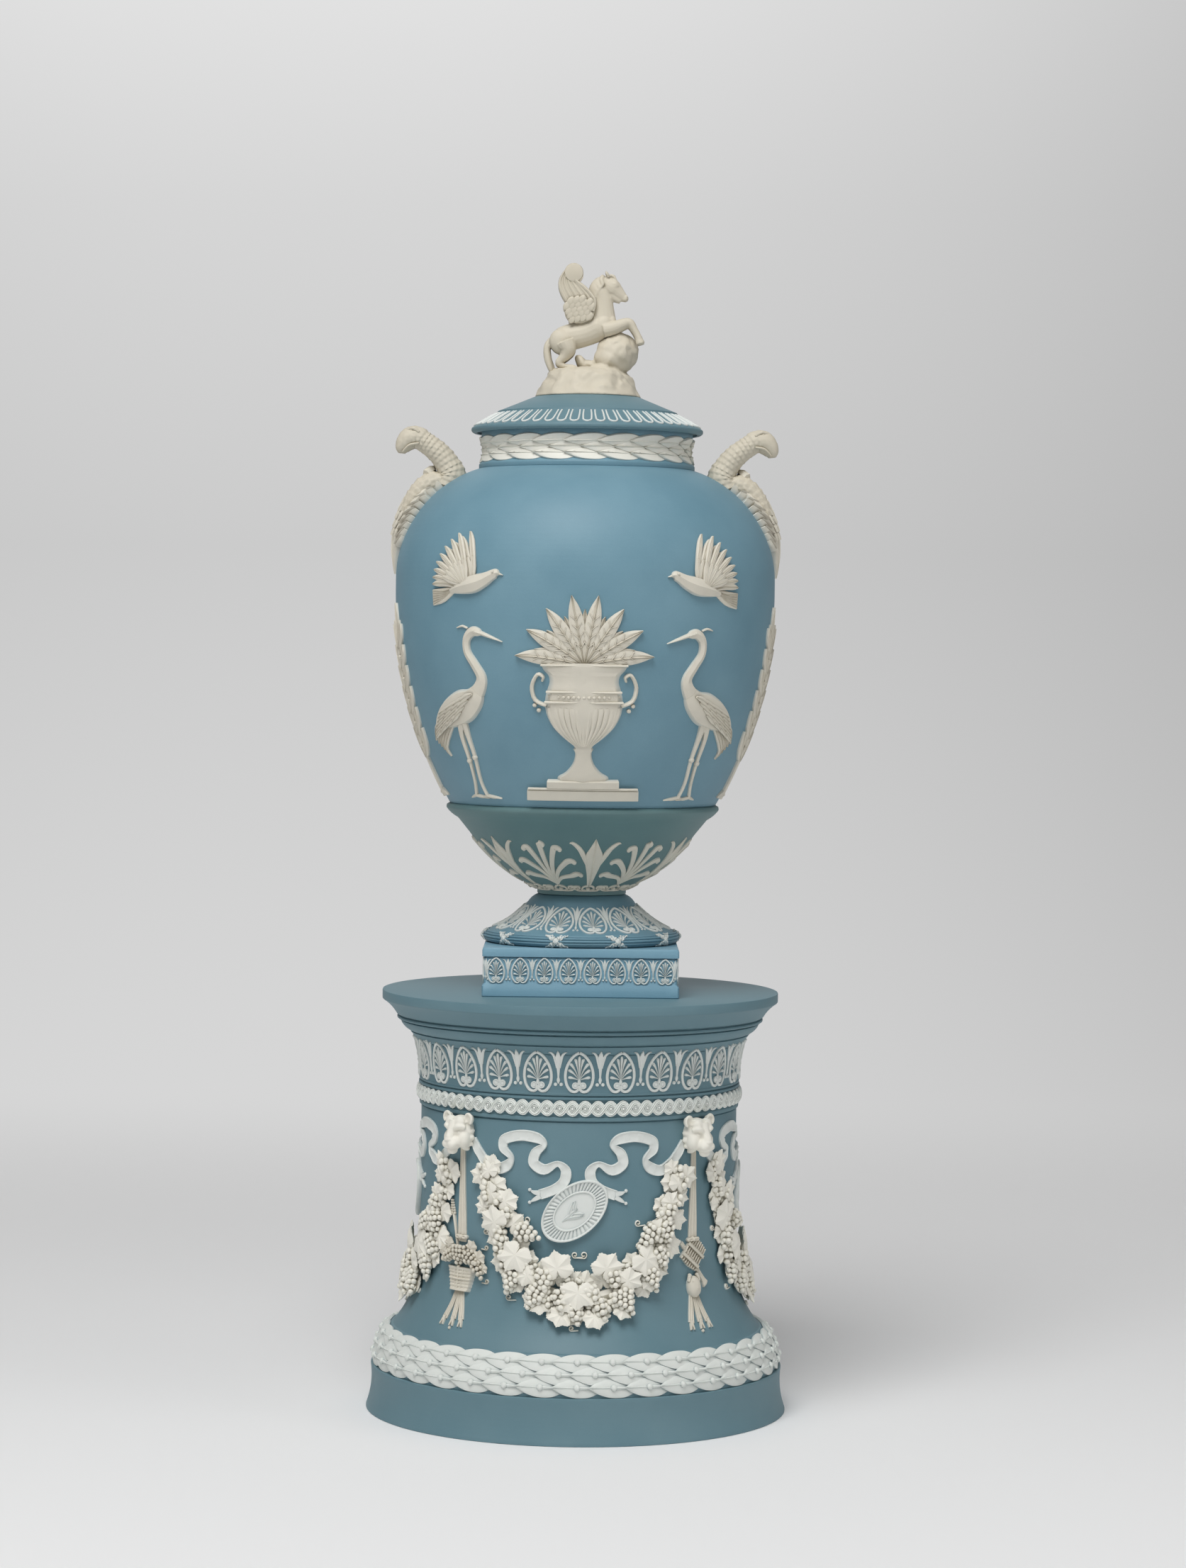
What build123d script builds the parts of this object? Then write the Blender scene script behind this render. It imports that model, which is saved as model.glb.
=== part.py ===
from build123d import *
import os
from math import asin, cos, degrees, pi, radians, sin

# A covered urn vase of unglazed blue stoneware with white applied reliefs, on its round pedestal.
# Millimetres, +Z up. The origin is the centre of the pedestal's foot, and the front faces -Y.

# Clearances
slip = 0.05  # film of slip between an applied relief and its wall
spigot_gap = 0.4  # cornice spigot in the drum
flange_gap = 0.8  # lid flange in the neck
bolt_gap = 0.5  # tie bolt in its holes
thread_gap = 0.05  # tie bolt in its nut

# Pedestal walls
base_radius = 114.0
base_top_radius = 111.4
base_height = 24.5
base_hollow = 1.6  # depth of the slight hollow in the base course's side
base_bore = 98.0
band_foot_radius = 109.4
band_top_radius = 100.4
band_height = 21.0
band_bulge = 1.9
band_ledge = 1.0
flare_height = 39.5
drum_radius = 85.4
drum_wall = 8.0
shaft_height = 80.0
string_out = 0.7
string_height = 2.4
guilloche_height = 9.5
fillet_height = 1.2
frieze_out = 0.9
frieze_height = 21.9
frieze_flare = 1.4

# Cornice mouldings, from the drum upwards: how far each steps out, and its height
lip_out = 0.9
lip_height = 2.3
cavetto_out = 3.1
cavetto_height = 4.0
ovolo_out = 4.6
ovolo_height = 5.0
bead_out = 2.2
bead_height = 2.6
cove_out = 8.6
cove_height = 8.2
crown_height = 4.7
crown_edge = 0.8
cap_thickness = 9.0
spigot_depth = 10.0
spigot_wall = 9.0

# Pedestal reliefs
laurel_relief = 1.3
guilloche_relief = 2.4
frieze_relief = 1.1
frieze_count = 25
palmette_width = 14.0
palmette_height = 19.8
frame_width = 1.1
lotus_width = 9.2
lotus_height = 18.8
bay_relief = 1.6
medallion_long = 19.2
medallion_short = 13.4
medallion_tilt = -32.0
medallion_rim = 3.4
medallion_relief = 2.8
medallion_drop = 47.0  # this and the drops below are measured from the string course
ribbon_width = 4.6
mask_drop = 10.5
mask_radius = 9.6
mask_depth = 9.0
mane_locks = 14
swag_drop = 31.0
swag_sag = 62.0
swag_power = 2.5  # above 2 the swag hangs fuller than a parabola
swag_reach = 29.5  # degrees from the middle of the bay
swag_thin = 5.6
swag_thick = 11.4
swag_depth = 8.4
swag_stations = 13
strap_drop = 22.3
strap_overlap = 9.0  # how far the strap goes behind what hangs from it
strap_width = 3.4
strap_foot_width = 6.4
trophy_drop = 60.0
tail_width = 2.6
tail_spread = 6.0
tail_top = 30.0  # this and the lengths below are measured down from the trophy's level
tail_foot = 48.0
grapes_width = 22.0
grapes_height = 13.0
grapes_middle = 13.0
basket_top = 19.0
basket_foot = 34.0
basket_top_width = 16.0
basket_foot_width = 12.0
staff_width = 2.2
staff_side = 7.0
staff_rise = 14.0
cone_width = 3.8
cone_height = 8.4
pipes_width = 13.0
pipes_height = 15.0
pipes_lean = 40.0
pipes_middle = 12.0
flute_width = 3.0
flute_side = 7.5
flute_top = 2.0
flute_foot = 26.0
face_width = 8.8
face_height = 13.2
face_middle = 27.0

# Plinth
plinth_side = 104.5
plinth_foot_height = 7.0
plinth_frieze_height = 14.3
plinth_slab_height = 4.7
plinth_recess = 1.2
slab_overhang = 0.7
slab_edge = 0.8
plinth_relief = 0.9
plinth_count = 8
plinth_palmette_width = 8.6
plinth_palmette_height = 12.6
plinth_frame = 0.7
plinth_lotus_width = 4.0
plinth_lotus_height = 12.0
nut_recess_radius = 17.0
nut_recess_depth = 12.0

# Foot
reed_radius = 53.7
reed_band_height = 7.2
reed_bulge = 2.8
reed_count = 5
reed_depth = 0.45
ogee_radius = 48.8
waist_radius = 22.6
ogee_height = 19.2
ogee_sag = 5.4
foot_hollow_radius = 27.0
foot_hollow_height = 14.0
foot_relief = 0.9
foot_count = 14
foot_palmette_width = 11.4
foot_palmette_rise = 11.0
foot_frame = 0.8
foot_lotus_width = 4.8
crossing_count = 10
crossing_relief = 0.8
crossing_width = 1.7

# Bowl
bowl_ring_radius = 24.0
bowl_ring_height = 2.6
bowl_swell = 3.2
bowl_step_radius = 61.2
bowl_step_height = 30.4  # above the ring
bowl_band_radius = 67.4
bowl_band_height = 7.6
ridge_radius = 73.7
ridge_height = 5.4
ridge_back = 1.9
ridge_top_height = 2.6
bowl_wall = 8.0
bowl_floor = 9.0
bowl_floor_radius = 16.0
bowl_relief = 1.1
bowl_count = 6
bowl_turn = 7.0  # degrees by which the ornament is turned from the front
bowl_lotus_width = 18.0
bowl_lotus_height = 22.0
bowl_lotus_lift = 5.0
frond_length = 22.0
frond_width = 3.0
frond_lift = 6.0
scroll_width = 1.5

# Body
body_radius = 102.3
lower_height = 114.0
belly_height = 6.0
shoulder_height = 60.0
body_wall = 7.5
mouth_radius = 49.5
neck_seat_radius = 58.2

# Main field reliefs
field_relief = 1.6
field_foot = 4.0
urn_width = 58.0
urn_height = 92.0
urn_leaf = 39.0
crane_height = 92.0
crane_turn = 43.0
dove_span = 25.0
dove_height = 112.0
dove_turn = 36.0
tree_height = 104.0
tree_turn = 79.0

# Neck
neck_fillet_height = 3.6
neck_step = 1.2
neck_height = 20.4
neck_waist = 2.4
neck_bore = 50.0
neck_relief = 1.2
neck_band_height = 13.6

# Handles
serpent_spread = 5.0
leaf_width = 27.0
leaf_height = 46.0
leaf_drop = 11.5  # from the neck's seat down to the leaf's top
leaf_proud = 4.2

# Lid
lid_radius = 62.7
lid_lip = 1.2
lid_lip_wall = 3.4
rim_height = 2.2
rim_round = 1.4
tongue_rise = 7.6
tongue_inner_radius = 48.6
lid_step = 0.7
dome_rise = 8.2
mound_radius = 28.6
lid_wall = 5.5
flange_depth = 12.0
flange_wall = 4.0
tongue_count = 54
tongue_relief = 0.8
tongue_width = 4.9
mound_height = 14.6
mound_top_radius = 19.0
mound_swell = 2.2
horse_slim = 0.82  # the horse's width against its depth
wing_thickness = 1.8
wing_spread = 5.4

# Tie bolt
bolt_radius = 4.0
bolt_head_radius = 11.0
bolt_head_height = 4.0
washer_radius = 14.0
washer_thickness = 2.0
nut_width = 14.0
nut_height = 6.0
bolt_tail = 2.0

# Levels
z_band = base_height
z_ledge = z_band + band_height
z_shaft = z_ledge + flare_height
z_string = z_shaft + shaft_height
z_guilloche = z_string + string_height
z_fillet = z_guilloche + guilloche_height
z_frieze = z_fillet + fillet_height
z_drum_top = z_frieze + frieze_height
z_lip = z_drum_top + lip_height
z_cavetto = z_lip + cavetto_height
z_ovolo = z_cavetto + ovolo_height
z_bead = z_ovolo + bead_height
z_cove = z_bead + cove_height
z_plinth = z_cove + crown_height
z_plinth_frieze = z_plinth + plinth_foot_height
z_slab = z_plinth_frieze + plinth_frieze_height
z_foot = z_slab + plinth_slab_height
z_ogee = z_foot + reed_band_height
z_bowl = z_ogee + ogee_height
z_bowl_curve = z_bowl + bowl_ring_height
z_bowl_step = z_bowl_curve + bowl_step_height
z_bowl_band = z_bowl_step + bowl_band_height
z_ridge = z_bowl_band + ridge_height
z_body = z_ridge + ridge_top_height
z_belly = z_body + lower_height
z_shoulder = z_belly + belly_height
z_neck = z_shoulder + shoulder_height
z_lid = z_neck + neck_height
z_rim = z_lid + rim_height
z_tongue_top = z_rim + tongue_rise
z_dome = z_tongue_top + lid_step
z_mound = z_dome + dome_rise
z_finial = z_mound + mound_height

# Radii that follow from these
frieze_radius = drum_radius + frieze_out
drum_bore = drum_radius - drum_wall
drum_top_radius = frieze_radius + frieze_flare
lip_radius = drum_top_radius + lip_out
cavetto_radius = lip_radius + cavetto_out
ovolo_radius = cavetto_radius + ovolo_out
bead_radius = ovolo_radius + bead_out
crown_radius = bead_radius + cove_out
body_foot_radius = ridge_radius - ridge_back
plinth_face = plinth_side / 2 - plinth_recess
reed_half = reed_band_height / 2 - reed_depth
reed_arc = (reed_half**2 + reed_bulge**2) / (2 * reed_bulge)
reed_centre = reed_radius - reed_depth - reed_arc
reed_angle = 2 * degrees(asin(min(reed_half / reed_arc, 1.0)))
neck_radius = neck_seat_radius - neck_step
bolt_hole = bolt_radius + bolt_gap


# Outlines of the walls that carry reliefs. Each is drawn from the bottom up, shifted outwards.
def band_line(shift):
    start = (band_foot_radius + shift, z_band)
    end = (band_top_radius + shift, z_ledge)
    SagittaArc(start, end, -band_bulge)
    return start, end


def shaft_line(shift):
    start = (band_top_radius - band_ledge + shift, z_ledge)
    foot = (drum_radius + shift, z_shaft)
    end = (drum_radius + shift, z_string)
    TangentArc(foot, start, tangent=(0, -1))
    Line(foot, end)
    return start, end


def guilloche_line(shift):
    start = (drum_radius + string_out + shift, z_guilloche)
    end = (drum_radius + string_out + shift, z_fillet)
    Line(start, end)
    return start, end


def frieze_line(shift):
    start = (frieze_radius + shift, z_frieze)
    end = (frieze_radius + shift, z_drum_top - frieze_flare)
    Line(start, end)
    return start, end


def on_reeds(share, radius):
    """A point on the bulge of the reeded edge, from its foot at 0 to its top at 1."""
    angle = radians(reed_angle * (share - 0.5))
    return (reed_centre + radius * cos(angle), z_foot + reed_band_height / 2 + radius * sin(angle))


def reed_line(shift):
    radius = reed_arc + reed_depth + shift
    start = on_reeds(0.18, radius)
    end = on_reeds(0.82, radius)
    ThreePointArc(start, on_reeds(0.5, radius), end)
    return start, end


def ogee_line(shift):
    start = (ogee_radius + shift, z_ogee + shift)
    end = (waist_radius + shift, z_bowl + shift)
    SagittaArc(start, end, ogee_sag)
    return start, end


def bowl_line(shift):
    start = (bowl_ring_radius + shift, z_bowl_curve - shift)
    end = (bowl_step_radius + shift, z_bowl_step - shift)
    SagittaArc(start, end, -bowl_swell)
    return start, end


def body_line(shift):
    start = (body_foot_radius + shift, z_body)
    belly = (body_radius + shift, z_belly)
    shoulder = (body_radius + shift, z_shoulder)
    end = (neck_seat_radius + shift, z_neck)
    TangentArc(belly, start, tangent=(0, -1))
    Line(belly, shoulder)
    TangentArc(shoulder, end, tangent=(0, 1))
    return start, end


def neck_line(shift):
    start = (neck_radius + shift, z_neck + neck_fillet_height)
    end = (neck_radius + shift, z_neck + neck_fillet_height + neck_band_height)
    SagittaArc(start, end, neck_waist)
    return start, end


def rim_line(shift):
    start = (lid_radius - rim_round + shift, z_rim + shift)
    end = (tongue_inner_radius + shift, z_tongue_top + shift)
    Line(start, end)
    return start, end


# Bodies made from those outlines
def skin(outline, relief):
    """The layer of a given thickness that lies on a wall, all the way round."""
    with BuildPart() as layer:
        with BuildSketch(Plane.XZ):
            with BuildLine():
                inner = outline(slip)
                outer = outline(slip + relief)
                Line(inner[0], outer[0])
                Line(inner[1], outer[1])
            make_face()
        revolve(axis=Axis.Z)
    return layer.part


def core(outline):
    """Everything inside a wall's outer face, with the film of slip, to cut a relief's back."""
    with BuildPart() as inside:
        with BuildSketch(Plane.XZ):
            with BuildLine():
                start, end = outline(slip)
                Polyline(end, (0, end[1]), (0, start[1]), start)
            make_face()
        revolve(axis=Axis.Z)
    return inside.part


def front(reach, lift):
    """The plane that a relief is drawn on: upright, in front of the wall, with its foot at a level."""
    return Plane(origin=(0, -reach, lift), x_dir=(1, 0, 0), z_dir=(0, -1, 0))


def sprig(outline, layer, reach, lift):
    """A relief: an outline seen from the front, pressed onto the front of a wall's layer."""
    with BuildPart() as relief:
        with BuildSketch(front(reach, lift)):
            add(outline)
        extrude(amount=-reach)
        add(layer, mode=Mode.INTERSECT)
    return relief.part


def ring_of(piece, count, start=0.0):
    """Copies of a piece set evenly round the axis."""
    with BuildPart() as ring:
        with PolarLocations(0, count, start_angle=start):
            add(piece)
    return ring.part


def turned(piece, angle):
    """One copy of a piece turned about the axis."""
    return ring_of(piece, 1, angle)


def limb(stations, depth=1.0):
    """A rounded limb in the XZ plane. Each station is x, y, z and the radius there."""
    points = [Vector(x, y, z) for x, y, z, radius in stations]
    with BuildPart() as rounded:
        for index, (x, y, z, radius) in enumerate(stations):
            before = points[max(index - 1, 0)]
            after = points[min(index + 1, len(points) - 1)]
            with BuildSketch(Plane(origin=(x, y, z), x_dir=(0, 1, 0), z_dir=after - before)):
                Ellipse(radius * depth, radius)
        loft()
    return rounded.part


# Motifs, drawn about the middle of their foot
def palmette(width, height, border):
    """A fan of five petals on two curls, inside a pointed frame."""
    tip = (0, height)
    hip = (width / 2, height * 0.38)
    heel = (width * 0.2, 0)
    fan_foot = height * 0.2
    fan_reach = min(height * 0.6, width * 0.86)
    petal = width * 0.075
    with BuildSketch() as motif:
        with BuildLine():
            ThreePointArc(tip, (width * 0.38, height * 0.74), hip)
            ThreePointArc(hip, (width * 0.43, height * 0.14), heel)
            Line(heel, (0, border))
            mirror(about=Plane.YZ)
        make_face()
        offset(amount=-border, mode=Mode.SUBTRACT)
        for turn, reach in ((-68, 0.38), (-34, 0.66), (0, 1.0), (34, 0.66), (68, 0.38)):
            with Locations(Location((0, fan_foot, 0), turn)):
                Polygon(
                    (0, 0),
                    (petal, fan_reach * reach * 0.7),
                    (0, fan_reach * reach),
                    (-petal, fan_reach * reach * 0.7),
                    align=None,
                )
        with Locations((0, fan_foot * 0.6)):
            Rectangle(border * 1.6, fan_foot * 1.2)
        with Locations((-width * 0.13, height * 0.1), (width * 0.13, height * 0.1)):
            Circle(width * 0.1)
    return motif.sketch


def lotus(width, height):
    """A flower of three points on a short stem."""
    with BuildSketch() as motif:
        with BuildLine():
            ThreePointArc((0, 0), (width * 0.14, height * 0.42), (width / 2, height * 0.94))
            Line((width / 2, height * 0.94), (width * 0.2, height * 0.74))
            Line((width * 0.2, height * 0.74), (0, height))
            mirror(about=Plane.YZ)
        make_face()
    return motif.sketch


def leaf(width, height):
    """A pointed leaf, widest below its middle."""
    with BuildSketch() as motif:
        with BuildLine():
            ThreePointArc((0, 0), (width * 0.46, height * 0.26), (width * 0.38, height * 0.56))
            ThreePointArc((width * 0.38, height * 0.56), (width * 0.24, height * 0.82), (0, height))
            mirror(about=Plane.YZ)
        make_face()
    return motif.sketch


def stroke(points, width):
    """A band of even width along a smooth line."""
    with BuildSketch() as motif:
        with BuildLine():
            Spline(*points)
        trace(line_width=width)
    return motif.sketch


def oval(long, short, tilt):
    """An upright oval, leaning by a number of degrees."""
    with BuildSketch() as motif:
        Ellipse(short, long, rotation=tilt)
    return motif.sketch


def urn_motif():
    """A footed garden urn on a low step, with a spray of leaves."""
    body_foot = urn_height * 0.3
    body_top = urn_height * 0.78
    with BuildSketch() as motif:
        with Locations((0, urn_height * 0.04)):
            Rectangle(urn_width, urn_height * 0.08)
        with Locations((0, urn_height * 0.1)):
            Rectangle(urn_width * 0.62, urn_height * 0.06)
        with BuildLine():
            Line((0, urn_height * 0.1), (urn_width * 0.25, urn_height * 0.12))
            ThreePointArc(
                (urn_width * 0.25, urn_height * 0.12),
                (urn_width * 0.1, urn_height * 0.2),
                (urn_width * 0.09, body_foot),
            )
            ThreePointArc(
                (urn_width * 0.09, body_foot),
                (urn_width * 0.36, urn_height * 0.46),
                (urn_width * 0.34, urn_height * 0.62),
            )
            ThreePointArc(
                (urn_width * 0.34, urn_height * 0.62),
                (urn_width * 0.33, urn_height * 0.7),
                (urn_width * 0.4, body_top),
            )
            Line((urn_width * 0.4, body_top), (0, body_top))
            mirror(about=Plane.YZ)
        make_face()
        for turn in (-66, -44, -22, 0, 22, 44, 66):
            with Locations(Location((0, body_top - 1, 0), turn)):
                Ellipse(urn_leaf * 0.11, urn_leaf / 2, align=(Align.CENTER, Align.MIN))
    return motif.sketch


def crane_motif():
    """A wading bird that stands and looks to the right."""
    height = crane_height
    with BuildSketch() as motif:
        with Locations((-height * 0.04, height * 0.5)):
            Ellipse(height * 0.22, height * 0.11, rotation=24)
        with BuildLine():
            Spline(
                (height * 0.1, height * 0.56),
                (height * 0.2, height * 0.68),
                (height * 0.1, height * 0.84),
                (height * 0.15, height * 0.95),
            )
        trace(line_width=height * 0.055)
        with Locations((height * 0.16, height * 0.95)):
            Ellipse(height * 0.055, height * 0.035)
        Polygon(
            (height * 0.2, height * 0.965),
            (height * 0.34, height * 0.9),
            (height * 0.2, height * 0.925),
            align=None,
        )
        with BuildLine():
            Polyline(
                (height * 0.0, height * 0.42),
                (height * 0.02, height * 0.22),
                (height * 0.0, 0),
                (height * 0.1, 0),
            )
        trace(line_width=height * 0.028)
    return motif.sketch


def dove_motif():
    """A bird in flight towards the right, with one wing raised."""
    span = dove_span
    with BuildSketch() as motif:
        Ellipse(span * 0.52, span * 0.2, rotation=14)
        with Locations((span * 0.56, span * 0.2)):
            Circle(span * 0.16)
        Polygon(
            (-span * 0.35, -span * 0.02),
            (-span * 1.0, -span * 0.42),
            (-span * 1.06, -span * 0.16),
            align=None,
        )
        with BuildLine():
            ThreePointArc((span * 0.2, 0), (span * 0.1, span * 0.6), (-span * 0.62, span * 0.98))
            ThreePointArc((-span * 0.62, span * 0.98), (-span * 0.52, span * 0.4), (-span * 0.2, 0))
            Line((-span * 0.2, 0), (span * 0.2, 0))
        make_face()
    return motif.sketch


def tree_motif():
    """A slender bay tree: a stem with pairs of leaves."""
    pairs = 5
    step = tree_height * 0.13
    with BuildSketch() as motif:
        with Locations((0, tree_height * 0.42)):
            Rectangle(tree_height * 0.025, tree_height * 0.84)
        for index in range(pairs):
            for side in (-1, 1):
                with Locations(Location((0, tree_height * 0.24 + index * step, 0), -side * 48)):
                    Ellipse(
                        tree_height * 0.042,
                        tree_height * 0.1,
                        align=(Align.CENTER, Align.MIN),
                    )
        with Locations((0, tree_height * 0.74)):
            Ellipse(tree_height * 0.05, tree_height * 0.13, align=(Align.CENTER, Align.MIN))
    return motif.sketch


pieces = {}

# Pedestal walls
with BuildPart() as base_course:
    with BuildSketch(Plane.XZ):
        with BuildLine():
            Line((base_bore, 0), (base_radius, 0))
            SagittaArc((base_radius, 0), (base_top_radius, base_height), base_hollow)
            Polyline((base_top_radius, base_height), (base_bore, base_height), (base_bore, 0))
        make_face()
    revolve(axis=Axis.Z)
pieces["base_course"] = base_course.part

with BuildPart() as pedestal_drum:
    with BuildSketch(Plane.XZ):
        with BuildLine():
            band = band_line(0)
            shaft = shaft_line(0)
            Line(band[1], shaft[0])
            string_radius = drum_radius + string_out
            Polyline(
                shaft[1],
                (string_radius, z_string),
                (string_radius, z_frieze),
                (frieze_radius, z_frieze),
                (frieze_radius, z_drum_top - frieze_flare),
            )
            SagittaArc(
                (frieze_radius, z_drum_top - frieze_flare), (drum_top_radius, z_drum_top), frieze_flare / 4
            )
            Polyline((drum_top_radius, z_drum_top), (drum_bore, z_drum_top), (drum_bore, z_shaft))
            TangentArc((drum_bore, z_shaft), (base_bore, z_band), tangent=(0, -1))
            Line((base_bore, z_band), band[0])
        make_face()
    revolve(axis=Axis.Z)
pieces["pedestal_drum"] = pedestal_drum.part

spigot_radius = drum_bore - spigot_gap
with BuildPart() as cornice:
    with BuildSketch(Plane.XZ):
        with BuildLine():
            Polyline((spigot_radius, z_drum_top), (drum_top_radius, z_drum_top), (lip_radius, z_lip))
            SagittaArc((lip_radius, z_lip), (cavetto_radius, z_cavetto), cavetto_out / 4)
            SagittaArc((cavetto_radius, z_cavetto), (ovolo_radius, z_ovolo), -ovolo_out / 5)
            Line((ovolo_radius, z_ovolo), (bead_radius, z_ovolo))
            Line((bead_radius, z_ovolo), (bead_radius, z_bead))
            SagittaArc((bead_radius, z_bead), (crown_radius, z_cove), cove_out / 9)
            Polyline(
                (crown_radius, z_cove),
                (crown_radius, z_plinth),
                (0, z_plinth),
                (0, z_plinth - cap_thickness),
                (spigot_radius - spigot_wall, z_plinth - cap_thickness),
                (spigot_radius - spigot_wall, z_drum_top - spigot_depth),
                (spigot_radius, z_drum_top - spigot_depth),
                (spigot_radius, z_drum_top),
            )
        make_face()
    revolve(axis=Axis.Z)
    fillet(cornice.edges().filter_by(GeomType.CIRCLE).group_by(Axis.Z)[-1], crown_edge)
pieces["cornice"] = cornice.part

# Pedestal bands
pieces["base_laurel_band"] = skin(band_line, laurel_relief)
pieces["guilloche_band"] = skin(guilloche_line, guilloche_relief)

frieze_layer = skin(frieze_line, frieze_relief)
frieze_reach = drum_radius * 1.2
frieze_pitch = 360 / frieze_count
pieces["drum_palmettes"] = ring_of(
    sprig(palmette(palmette_width, palmette_height, frame_width), frieze_layer, frieze_reach, z_frieze),
    frieze_count,
)
pieces["drum_lotuses"] = ring_of(
    sprig(lotus(lotus_width, lotus_height), frieze_layer, frieze_reach, z_frieze),
    frieze_count,
    frieze_pitch / 2,
)

# Pedestal bays: swag, medallion and ribbons, with a mask and a trophy between the bays
shaft_core = core(shaft_line)
shaft_layer = skin(shaft_line, bay_relief)
medallion_layer = skin(shaft_line, medallion_relief)
shaft_reach = band_top_radius * 1.2
quarter = 90.0
z_mask = z_string - mask_drop
z_medallion = z_string - medallion_drop
z_swag = z_string - swag_drop
z_strap = z_string - strap_drop
z_trophy = z_string - trophy_drop

with BuildPart() as mask:
    with BuildSketch(front(shaft_reach, z_mask)):
        Circle(mask_radius)
        with PolarLocations(mask_radius, mane_locks):
            Circle(mask_radius * 0.2)
    extrude(amount=-shaft_reach)
    add(medallion_layer, mode=Mode.INTERSECT)
    with Locations((0, -drum_radius - mask_depth * 0.15, z_mask + mask_radius * 0.1)):
        Sphere(mask_radius * 0.72)
    with Locations((0, -drum_radius - mask_depth * 0.55, z_mask - mask_radius * 0.3)):
        Sphere(mask_radius * 0.42)
    with Locations(
        (-mask_radius * 0.62, -drum_radius - mask_depth * 0.3, z_mask + mask_radius * 0.62),
        (mask_radius * 0.62, -drum_radius - mask_depth * 0.3, z_mask + mask_radius * 0.62),
    ):
        Sphere(mask_radius * 0.24)
    add(shaft_core, mode=Mode.SUBTRACT)
for index in range(4):
    pieces[f"lion_mask_{index + 1}"] = turned(mask.part, -45 + index * quarter)

with BuildPart() as swag:
    places = []
    for index in range(swag_stations):
        along = -1 + 2 * index / (swag_stations - 1)
        angle = radians(along * swag_reach)
        sag = swag_sag * (1 - abs(along) ** swag_power)
        places.append(Vector(drum_radius * sin(angle), -drum_radius * cos(angle), z_swag - sag))
    for index, place in enumerate(places):
        before = places[max(index - 1, 0)]
        after = places[min(index + 1, swag_stations - 1)]
        fullness = sin(pi * index / (swag_stations - 1))
        width = swag_thin + (swag_thick - swag_thin) * fullness
        outwards = (place.X, place.Y, 0)
        with BuildSketch(Plane(origin=place, x_dir=outwards, z_dir=after - before)):
            Ellipse(swag_depth * width / swag_thick, width)
    loft(ruled=True)
    add(shaft_core, mode=Mode.SUBTRACT)
for index in range(4):
    pieces[f"garland_{index + 1}"] = turned(swag.part, index * quarter)

inner_oval = oval(medallion_long - medallion_rim, medallion_short - medallion_rim, medallion_tilt)
outer_oval = oval(medallion_long, medallion_short, medallion_tilt)
with BuildSketch() as border:
    add(outer_oval)
    add(inner_oval, mode=Mode.SUBTRACT)
medallion_field = sprig(inner_oval, shaft_layer, shaft_reach, z_medallion)
medallion_border = sprig(border.sketch, medallion_layer, shaft_reach, z_medallion)
with BuildPart() as medallion:
    add(medallion_field)
    add(medallion_border)
for index in range(4):
    pieces[f"medallion_{index + 1}"] = turned(medallion.part, index * quarter)

# The ribbon runs from the mask to the medallion and goes behind it. Places are from the bay's middle,
# down from the string course.
ribbon_line = [
    (-51.0, -15.5),
    (-43.5, -22.5),
    (-33.5, -21.0),
    (-36.5, -13.5),
    (-28.0, -7.5),
    (-18.0, -12.0),
    (-21.0, -21.0),
    (-14.0, -25.0),
    (-7.5, -24.0),
    (-8.0, -33.0),
    (-20.5, -39.0),
]
ribbon = sprig(stroke(ribbon_line, ribbon_width), shaft_layer, shaft_reach, z_string)
medallion_room = oval(medallion_long + slip, medallion_short + slip, medallion_tilt)
bay_masks = [turned(mask.part, -quarter / 2), turned(mask.part, quarter / 2)]
with BuildPart() as ribbons:
    add(ribbon)
    mirror(about=Plane.YZ)
    with BuildSketch(front(shaft_reach, z_medallion)):
        add(medallion_room)
    extrude(amount=-shaft_reach, mode=Mode.SUBTRACT)
    add(swag.part, mode=Mode.SUBTRACT)
    add(bay_masks, mode=Mode.SUBTRACT)
for index in range(4):
    pieces[f"ribbon_pair_{index + 1}"] = turned(ribbons.part, index * quarter)


# Both trophies hang by a strap, with loose ends below
with BuildSketch() as strap_and_tails:
    with BuildLine():
        Polyline(
            (-strap_width / 2, trophy_drop - strap_drop),
            (strap_width / 2, trophy_drop - strap_drop),
            (strap_foot_width / 2, -strap_overlap),
            (-strap_foot_width / 2, -strap_overlap),
            close=True,
        )
    make_face()
    for share in (-1.0, 0.0, 1.0):
        with BuildLine():
            Line((share * tail_spread * 0.3, -tail_top), (share * tail_spread, -tail_foot))
        trace(line_width=tail_width)

with BuildSketch() as basket:
    add(strap_and_tails.sketch)
    with BuildLine():
        Polyline(
            (-basket_top_width / 2, -basket_top),
            (basket_top_width / 2, -basket_top),
            (basket_foot_width / 2, -basket_foot),
            (-basket_foot_width / 2, -basket_foot),
            close=True,
        )
    make_face()
    with Locations((0, -grapes_middle)):
        Ellipse(grapes_width / 2, grapes_height / 2)
    with BuildLine():
        Line((-staff_side, staff_rise), (-staff_side * 0.3, -grapes_middle))
    trace(line_width=staff_width)
    with Locations((-staff_side, staff_rise)):
        Ellipse(cone_width / 2, cone_height / 2, rotation=12)
with BuildSketch() as pan_pipes:
    add(strap_and_tails.sketch)
    with Locations((0, -pipes_middle)):
        Rectangle(pipes_width, pipes_height, rotation=pipes_lean)
    with BuildLine():
        Line((-flute_side, -flute_top), (flute_side, -flute_foot))
    trace(line_width=flute_width)
    with Locations((0, -face_middle)):
        Ellipse(face_width / 2, face_height / 2)
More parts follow.
